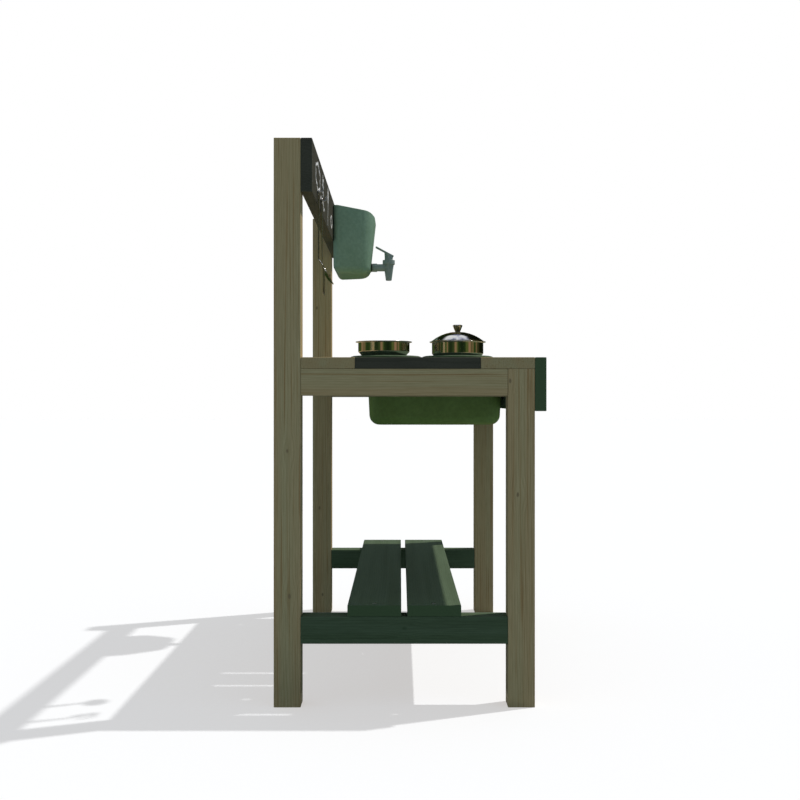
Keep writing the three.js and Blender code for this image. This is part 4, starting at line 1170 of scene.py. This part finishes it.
def spoon_shape(top, head, hole):
    """A serving spoon: a flat handle whose end runs down the back of a dished bowl."""
    tilt = math.radians(SPOON["tilt"])
    neck_at, neck, overlap = top + UTENSIL["handle"], UTENSIL["neck"], SPOON["overlap"]
    outline = head + [Vector((neck_at + overlap, -neck)), Vector((neck_at + overlap, neck))]
    line = [(0, 0), (neck_at, 0), (neck_at + overlap * math.cos(tilt), overlap * math.sin(tilt))]
    blank = sheet_steel(outline, [hole], UTENSIL["thickness"], UTENSIL["edge"])
    handle = hung(bent(blank, rounded_line(line, [0, SPOON_ROUND["bend"], 0])), top)
    sphere = (SPOON["half_width"] ** 2 + SPOON["depth"] ** 2) / (2 * SPOON["depth"])
    centre = (0, sphere - SPOON["depth"])
    start = -math.pi / 2
    end = start + math.asin(SPOON["half_width"] / sphere)
    inside = arc(centre, sphere - SPOON["steel"], end, start, SPOON_ROUND["steps"])
    outside = arc(centre, sphere, start, end, SPOON_ROUND["steps"])
    brim = SPOON_ROUND["brim"]
    edge = rounded_line([outside[-2], outside[-1], inside[0], inside[1]], [0, brim, brim, 0])
    profile = [(0, outside[0].y), *outside[1:-2], *edge, *inside[2:-1], (0, inside[-1].y)]
    bowl = changed(turned(profile), Matrix.Diagonal((1, SPOON["half_length"] / SPOON["half_width"], 1, 1)))
    bowl = spun(bowl, 90 - SPOON["tilt"], "X")
    forward, drop = SPOON["half_length"] * math.sin(tilt), SPOON["half_length"] * math.cos(tilt)
    return combined("UNION", handle, moved(bowl, y=-forward, z=-UTENSIL["handle"] - drop))


# Screws


SCREWS = {
    "wood": {"length": 42, "tip": 7, "shank": 2, "head": 4, "head_height": 2.8, "lip": 0.6},
    "plate": {"length": 24, "tip": 6, "shank": 1.8, "head": 3.6, "head_height": 2.4, "lip": 0.5},
    "wall": {"length": 17, "tip": 5, "shank": 2, "head": 5, "head_height": 3, "lip": 2.6},
    "knob": {"length": 11.6, "tip": 1, "shank": 1.4, "head": 3.4, "head_height": 1.8, "lip": 1.6},
}
# The head's edge is cut off at a share of its lip. The drive narrows to its floor, which dips to a point.
HEAD_SHARES = {"edge": 0.4, "shoulder": 0.3}
DRIVE = {"radius": 1.5, "depth": 1.6, "lobes": 6, "lobe_share": 0.16, "narrow_share": 0.94, "dip_share": 1.2}
SCREW_CLEARANCE = 0.3
SCREW_SINK = 0.3
SCREW_TURNS = {"front": 90, "back": -90, "up": 0}

# The frame's screws: the kind, the way the head faces, and the timber that each one goes into
FRAME_SCREWS = {
    "apron_screw_": ("wood", "front", "front_apron"),
    "beam_screw_": ("wood", "front", "chalkboard_beam"),
    "shelf_screw_front_": ("wood", "up", "shelf_board_front"),
    "shelf_screw_back_": ("wood", "up", "shelf_board_back"),
    "hob_plate_screw_": ("plate", "up", "hob_slat_2"),
    "tank_screw_": ("wall", "front", "chalkboard_beam"),
}
# How far the worktop's screws are from the middle of a board, and from the ends of the strips beside the sink
WORKTOP_SCREWS = {"aside": 25, "from_end": 18}


def screw_ring(radius, z, lobe_share=0):
    """A level ring, which lobes may wave in and out."""
    angles = [2 * math.pi * i / SMALL_SIDES for i in range(SMALL_SIDES)]
    radii = [radius * (1 + lobe_share * math.cos(DRIVE["lobes"] * a)) for a in angles]
    return [(r * math.cos(a), r * math.sin(a), z) for r, a in zip(radii, angles)]


def screw_shape(size):
    """A screw with its head up at zero and a six-lobed drive."""
    edge = size["lip"] * HEAD_SHARES["edge"]
    shoulder = edge * HEAD_SHARES["shoulder"]
    return loft(
        [
            [(0, 0, -size["length"])],
            screw_ring(size["shank"], size["tip"] - size["length"]),
            screw_ring(size["shank"], -size["head_height"]),
            screw_ring(size["head"], -size["lip"]),
            screw_ring(size["head"], -edge),
            screw_ring(size["head"] - shoulder, -shoulder),
            screw_ring(size["head"] - edge, 0),
            screw_ring(DRIVE["radius"], 0, DRIVE["lobe_share"]),
            screw_ring(DRIVE["radius"] * DRIVE["narrow_share"], -DRIVE["depth"], DRIVE["lobe_share"]),
            [(0, 0, -DRIVE["depth"] * DRIVE["dip_share"])],
        ]
    )


def screw_space(size):
    """The hole and countersink that a screw takes in its timber."""
    gap = SCREW_CLEARANCE
    return turned(
        [
            (0, -size["length"] - gap),
            (size["shank"] + gap, size["tip"] - size["length"] - gap),
            (size["shank"] + gap, -size["head_height"] - gap),
            (size["head"] + gap, -size["lip"] - gap),
            (size["head"] + gap, OVERRUN),
            (0, OVERRUN),
        ],
        SMALL_SIDES,
    )


def make_screws():
    """The screws of the frame, the worktop and the rails. Gives the holes that they need, by timber."""
    shapes = {kind: screw_shape(size) for kind, size in SCREWS.items()}
    spaces = {kind: screw_space(size) for kind, size in SCREWS.items()}
    holes = {}

    def drive(name, kind, facing, at, timber, node=None):
        turn = SCREW_TURNS[facing]
        holes.setdefault(timber, []).append(moved(spun(spaces[kind], turn, "X"), *at))
        piece(name, spun(shapes[kind], turn, "X"), "zinc_steel", at, node)

    for prefix, (kind, facing, timber) in FRAME_SCREWS.items():
        for node in sorted(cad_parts):
            if node.startswith(prefix):
                low, high, middle = box(node)
                at = (middle.x, low.y, middle.z) if facing == "front" else (middle.x, middle.y, high.z)
                drive(f"steel_{node}", kind, facing, at, timber, node)

    low, _, middle = box("lid_knob_screw")
    at = (middle.x, middle.y, low.z)
    piece("steel_lid_knob_screw", spun(shapes["knob"], 180, "X"), "zinc_steel", at, "lid_knob_screw", "lid")

    for number, (x, y, timber) in enumerate(sorted(worktop_screws()), 1):
        top = box(timber)[1].z - SCREW_SINK
        drive(f"worktop_screw_{number:02d}", "wood", "up", (x, y, top), timber)
    for end in ("left", "right"):
        post, leg = f"back_post_{end}", f"front_leg_{end}"
        x, behind = box(post)[2].x, box(post)[1].y - SCREW_SINK
        for level in ("upper", "lower"):
            z = box(f"{level}_side_rail_{end}")[2].z
            drive(f"rail_screw_{level}_{end}_back", "wood", "back", (x, behind, z), post)
        ahead = box(leg)[0].y + SCREW_SINK
        drive(f"rail_screw_lower_{end}_front", "wood", "front", (x, ahead, z), leg)
    return holes


def worktop_screws():
    """Where the worktop's boards are screwed down: each screw's place and the board that it goes through."""
    aside, from_end = WORKTOP_SCREWS["aside"], WORKTOP_SCREWS["from_end"]
    back, front = box("worktop_back_board"), box("worktop_front_board")
    bearer = box("worktop_bearer")
    ends = [box(f"front_leg_{end}")[2].x for end in ("left", "right")]
    joint = (bearer[0].x + front[1].x) / 2
    places = []
    for side in (-aside, aside):
        places += [(x, back[2].y + side, "worktop_back_board") for x in (*ends, bearer[2].x)]
        places += [(x, front[2].y + side, "worktop_front_board") for x in (ends[0], joint)]
    front_batten, back_batten = box("slat_batten_front"), box("slat_batten_back")
    for slat in [*TIMBERS["Y", "X", "black_painted_pine"], "worktop_middle_slat"]:
        low, high, middle = box(slat)
        rows = (low.y + front_batten[1].y) / 2, (high.y + back_batten[0].y) / 2
        places += [(middle.x + side, y, slat) for side in (-aside, aside) for y in rows]
    over_bearer = (box("sink_strip_left")[0].x + bearer[1].x) / 2
    for strip, x in (("sink_strip_left", over_bearer), ("sink_strip_right", ends[1])):
        low, high, _ = box(strip)
        places += [(x, y, strip) for y in (low.y + from_end, high.y - from_end)]
    return places


# Chalk


# The doodles: where the middle of each lies, along the beam and above the beam's middle, and its sizes
CLOUD = {"at": (-330, 6), "half_width": 50, "half_height": 19, "puffs": 6, "puff_share": 0.24, "steps": 72}
WAVE = {"at": (-205, -22), "half_width": 56, "height": 6, "curve": 9, "step": 3}
SUN = {"at": (-190, 14), "radius": 11, "rays": 8, "from": 16, "to": 22}
FLOWER = {"at": (-30, 22), "petals": 5, "petal": 5, "out": 9, "petal_steps": 16}
STEM = {"at": (-30, 0), "foot": -38, "top": 13, "sway": 6, "curve": 16, "step": 3}
LEAF = {"at": (62, -12), "length": 60, "height": 12, "step": 4}
STAR = {"at": (396, 14), "rays": 6, "from": 0, "to": 15, "turn": 0.3}
LOOP = {"at": (432, -14), "radius": 14, "turns": 0.9}

# A chalk line is a few threads side by side, and each thread is a row of dabs of uneven length and width.
CHALK = {"seed": 4, "threads": 4, "width": 3.6, "shake": 0.3, "missing_share": 0.07}
DAB = {"lengths": (1.6, 4.5), "before": 0.3, "after": 0.2, "width": 1.9, "depth": 0.15}
DAB_SPREAD = {"half_width": (0.25, 0.62), "depth": (0.5, 1)}
# Each corner of a dab: how far along it is, and how far aside, as shares of its length and half width
DAB_SHARES = [(0, -0.5), (0.3, -1), (1, -0.6), (1, 0.4), (0.6, 1), (0, 0.6)]


def doodle_lines():
    """Plain doodles, as lines of points along and above the beam's middle.

    They are a cloud, a sun over a wave, a flower, a leaf, a star and a ring.
    """

    def circle(radius, start=0, turns=1, steps=40):
        angles = [start + 2 * math.pi * turns * i / steps for i in range(steps + 1)]
        return [(radius * math.cos(a), radius * math.sin(a)) for a in angles]

    def rays(motif):
        angles = [motif.get("turn", 0) + 2 * math.pi * i / motif["rays"] for i in range(motif["rays"])]
        return [[(r * math.cos(a), r * math.sin(a)) for r in (motif["from"], motif["to"])] for a in angles]

    def cloud_edge(a):
        puff = 1 + CLOUD["puff_share"] * abs(math.sin(CLOUD["puffs"] / 2 * a))
        return (CLOUD["half_width"] * puff * math.cos(a), CLOUD["half_height"] * puff * math.sin(a))

    cloud = [cloud_edge(2 * math.pi * i / CLOUD["steps"]) for i in range(CLOUD["steps"] + 1)]
    reach = range(-WAVE["half_width"], WAVE["half_width"] + 1, WAVE["step"])
    wave = [(x, WAVE["height"] * math.sin(x / WAVE["curve"])) for x in reach]
    rise = range(STEM["foot"], STEM["top"], STEM["step"])
    stem = [(STEM["sway"] * math.sin(z / STEM["curve"]), z) for z in rise]
    petals = []
    for number in range(FLOWER["petals"]):
        a = 2 * math.pi * number / FLOWER["petals"] + math.pi / 2
        x, z = FLOWER["out"] * math.cos(a), FLOWER["out"] * math.sin(a)
        petal = circle(FLOWER["petal"], a + math.pi, steps=FLOWER["petal_steps"])
        petals.append([(x + px, z + pz) for px, pz in petal])
    vein = range(0, LEAF["length"] + 1, LEAF["step"])
    half_leaf = [(x, LEAF["height"] * math.sin(x / LEAF["length"] * math.pi)) for x in vein]
    leaf = [[(x, side * z) for x, z in half_leaf] for side in (-1, 1)]
    motifs = [
        (CLOUD, [cloud]),
        (WAVE, [wave]),
        (SUN, [circle(SUN["radius"]), *rays(SUN)]),
        (STEM, [stem]),
        (FLOWER, petals),
        (LEAF, leaf),
        (STAR, rays(STAR)),
        (LOOP, [circle(LOOP["radius"], turns=LOOP["turns"])]),
    ]
    placed = []
    for motif, lines in motifs:
        along, above = motif["at"]
        placed += [[(along + x, above + z) for x, z in line] for line in lines]
    return placed


def make_chalk():
    """Chalk doodles rubbed onto the front of the beam."""
    rng = random.Random(CHALK["seed"])
    low, _, middle = box("chalkboard_beam")

    def dab(start, way, across):
        half = across * DAB["width"] * rng.uniform(*DAB_SPREAD["half_width"])
        corners = [start + way * along + half * aside for along, aside in DAB_SHARES]
        depth = DAB["depth"] * rng.uniform(*DAB_SPREAD["depth"])
        return loft([[(p.x, low.y + y, p.y) for p in corners] for y in (0, -depth)])

    def rubbed(start, end, aside):
        """One thread of chalk between two points, to one side of them."""
        along = (end - start).normalized()
        across = Vector((-along.y, along.x))
        length, reach, dabs = (end - start).length, 0, []
        while reach < length:
            step = min(rng.uniform(*DAB["lengths"]), length - reach)
            if rng.random() > CHALK["missing_share"]:
                offset = across * (aside + rng.uniform(-CHALK["shake"], CHALK["shake"]))
                first = start + along * (reach - DAB["before"]) + offset
                dabs.append(dab(first, along * (DAB["before"] + step + DAB["after"]), across))
            reach += step
        return dabs

    shapes = []
    for line in doodle_lines():
        line = [Vector((x, middle.z + z)) for x, z in line]
        for number in range(CHALK["threads"]):
            aside = (number / (CHALK["threads"] - 1) - 0.5) * CHALK["width"]
            for start, end in zip(line, line[1:]):
                if (end - start).length >= WELD:
                    shapes += rubbed(start, end, aside)
    piece("chalk_drawings", together(*shapes), "chalk")


# Camera, light and floor


def make_camera():
    """A camera at the photograph's viewing angle."""
    data = bpy.data.cameras.new("camera")
    data.lens, data.sensor_width = LENS, SENSOR
    data.clip_start, data.clip_end = 10 * MM, 2 * FLOOR_SIZE * MM
    camera = bpy.data.objects.new("camera", data)
    camera.location = Vector(CAMERA_PLACE) * MM
    camera.rotation_euler = (math.radians(90), 0, math.radians(-90))
    bpy.context.scene.collection.objects.link(camera)
    bpy.context.scene.camera = camera


def seen(tree):
    """1 for what the camera sees itself or in metal or glass, and 0 for the light that reaches the object."""
    rays = add(tree, "LightPath")
    direct = add(tree, "Math", {0: rays["Is Camera Ray"], 1: rays["Is Glossy Ray"]}, operation="MAXIMUM")[0]
    return add(tree, "Math", {0: direct, 1: rays["Is Transmission Ray"]}, operation="MAXIMUM")[0]


def make_light():
    """A sun and a pale sky, which shows as white."""
    world = bpy.data.worlds.new("studio")
    bpy.context.scene.world = world
    world.use_nodes = True
    tree = world.node_tree
    tree.nodes.clear()
    sky = add(tree, "Background", {"Color": linear(SKY_COLOUR), "Strength": SKY_STRENGTH})[0]
    white = add(tree, "Background", {"Color": linear("#ffffff"), "Strength": 1})[0]
    add(tree, "OutputWorld", {"Surface": add(tree, "MixShader", {0: seen(tree), 1: sky, 2: white})[0]})
    data = bpy.data.lights.new("sun", "SUN")
    data.energy, data.angle, data.color = SUN_STRENGTH, SUN_SOFTNESS, linear(SUN_COLOUR)[:3]
    sun = bpy.data.objects.new("sun", data)
    sun.rotation_euler = Vector(SUN_TOWARDS).to_track_quat("Z", "Y").to_euler()
    bpy.context.scene.collection.objects.link(sun)


def staged(name, points, faces, material):
    """A part of the studio, from points in metres."""
    mesh = bpy.data.meshes.new(name)
    mesh.from_pydata(points, [], faces)
    mesh.materials.append(material)
    made = bpy.data.objects.new(name, mesh)
    bpy.context.scene.collection.objects.link(made)
    return made


def make_floor():
    """A pale floor that keeps the kitchen's shadow. What it throws back on the kitchen is greyer."""
    material, tree = blank_material("white_studio_floor")
    bounce = add(tree, "BsdfDiffuse", {"Color": linear(FLOOR_BOUNCE_COLOUR)})[0]
    lit = add(tree, "BsdfDiffuse", {"Color": linear(FLOOR_LIT_COLOUR)})[0]
    glow = add(tree, "Emission", {"Color": linear(FLOOR_GLOW_COLOUR), "Strength": 1})[0]
    shown = add(tree, "AddShader", {0: lit, 1: glow})[0]
    add(tree, "OutputMaterial", {"Surface": add(tree, "MixShader", {0: seen(tree), 1: bounce, 2: shown})[0]})
    half = FLOOR_SIZE / 2 * MM
    corners = [(-half, -half, 0), (half, -half, 0), (half, half, 0), (-half, half, 0)]
    staged("floor", corners, [(0, 1, 2, 3)], material)


# The studio's reflection screen: the radius and height of each of its rings
SCREEN_RINGS = [(5000, 20), (5000, 3000), (4700, 5000), (3500, 6600), (1500, 7500), (10, 7700)]
# Its glowing pattern, in metres: the width of its bands and how they climb, the size of its folds, and their
# colours
GLOW_PATTERN = {"band_width": 6.5, "band_rise": 0.04, "fold_size": 1.2}
GLOW_BANDS = [
    (0.3, "#0b100a"),
    (0.4, "#1d2a15"),
    (0.46, "#33461f"),
    (0.5, "#5a6230"),
    (0.52, "#a37d5f"),
    (0.54, "#7a6440"),
    (0.56, "#45522a"),
    (0.62, "#26331a"),
    (0.7, "#101709"),
]
PALE_FOLDS = [(0.4, "#6d7290"), (0.46, "#ced1e6"), (0.52, "#ffffff")]
# The way to its darkest side, which is beyond the kitchen's right end and to its front
DARK_WAY = (0.7, -0.7, 0)
# The middle of its black part, on the floor at the kitchen's left end
BLACK_MIDDLE = (-0.9, 0, 0)
# The pale top starts higher up towards the front and the back, and the folds make its edge ragged.
PALE_TOP = {"from": 5.6, "to": 6.2, "climb": 0.55, "ragged": 1.8}


def make_screen():
    """A dome that glows green and brown with a pale top, which only polished steel and gloss reflect: painted
    reflections, which light nothing else.
    """
    material, tree = blank_material("studio_screen")
    place = add(tree, "TexCoord")["Object"]
    parts = add(tree, "SeparateXYZ", {0: place})
    flat = add(tree, "VectorMath", {0: place, 1: (1, 1, GLOW_PATTERN["band_rise"])}, operation="MULTIPLY")[0]
    band_pattern = {"Vector": flat, "Scale": 1 / GLOW_PATTERN["band_width"], "Detail": 3, "Roughness": 0.55}
    colour = add(tree, "ValToRGB", {0: add(tree, "TexNoise", band_pattern)[0]}, stops=GLOW_BANDS)[0]
    # The painted reflection darkens to one side and high up, and is black on the floor at the kitchen's left
    # end.
    dark_way = add(tree, "VectorMath", {0: place, 1: DARK_WAY}, operation="DOT_PRODUCT")["Value"]
    from_black = add(tree, "VectorMath", {0: place, 1: BLACK_MIDDLE}, operation="DISTANCE")["Value"]
    for value, start, end, first_share, last_share in (
        (dark_way, 3, 4.6, 1, 0.12),
        (parts["Z"], 1.6, 3.2, 1, 0.3),
        (from_black, 0.7, 1.3, 0.08, 1),
    ):
        span = {"Value": value, "From Min": start, "From Max": end}
        light = add(tree, "MapRange", span | {"To Min": first_share, "To Max": last_share})[0]
        colour = add(tree, "VectorMath", {0: colour, "Scale": light}, operation="SCALE")[0]
    folds = add(tree, "TexNoise", {"Vector": place, "Scale": 1 / GLOW_PATTERN["fold_size"], "Detail": 3})[0]
    aside = add(tree, "Math", {0: parts["Y"]}, operation="ABSOLUTE")[0]
    height = add(tree, "Math", {0: aside, 1: -PALE_TOP["climb"], 2: parts["Z"]}, operation="MULTIPLY_ADD")[0]
    ragged = add(tree, "Math", {0: folds, 1: PALE_TOP["ragged"], 2: height}, operation="MULTIPLY_ADD")[0]
    pale_span = {"Value": ragged, "From Min": PALE_TOP["from"], "From Max": PALE_TOP["to"]}
    pale = add(tree, "MapRange", pale_span)[0]
    top_colour = add(tree, "ValToRGB", {0: folds}, stops=PALE_FOLDS)[0]
    shown = add(tree, "Mix", {0: pale, 6: colour, 7: top_colour}, **BLEND)[2]
    # Painted reflections: the screen glows with its pattern at strength 1, and is no lamp.
    add(tree, "OutputMaterial", {"Surface": add(tree, "Emission", {"Color": shown, "Strength": 1})[0]})
    points, faces = turned(SCREEN_RINGS)
    screen = staged("reflection_screen", [tuple(point * MM) for point in points], faces, material)
    for ray in ("camera", "diffuse", "transmission", "shadow", "volume_scatter"):
        setattr(screen, "visible_" + ray, False)


bpy.context.scene.view_settings.view_transform = "Standard"
make_camera()
make_light()
make_floor()
make_screen()
holes = make_screws()
holes["chalkboard_beam"] += make_hooks()
make_timbers(holes)
make_hob_plates()
make_pans()
make_lid()
make_knob()
make_sink()
make_tank()
make_tap()
make_utensils()
make_chalk()
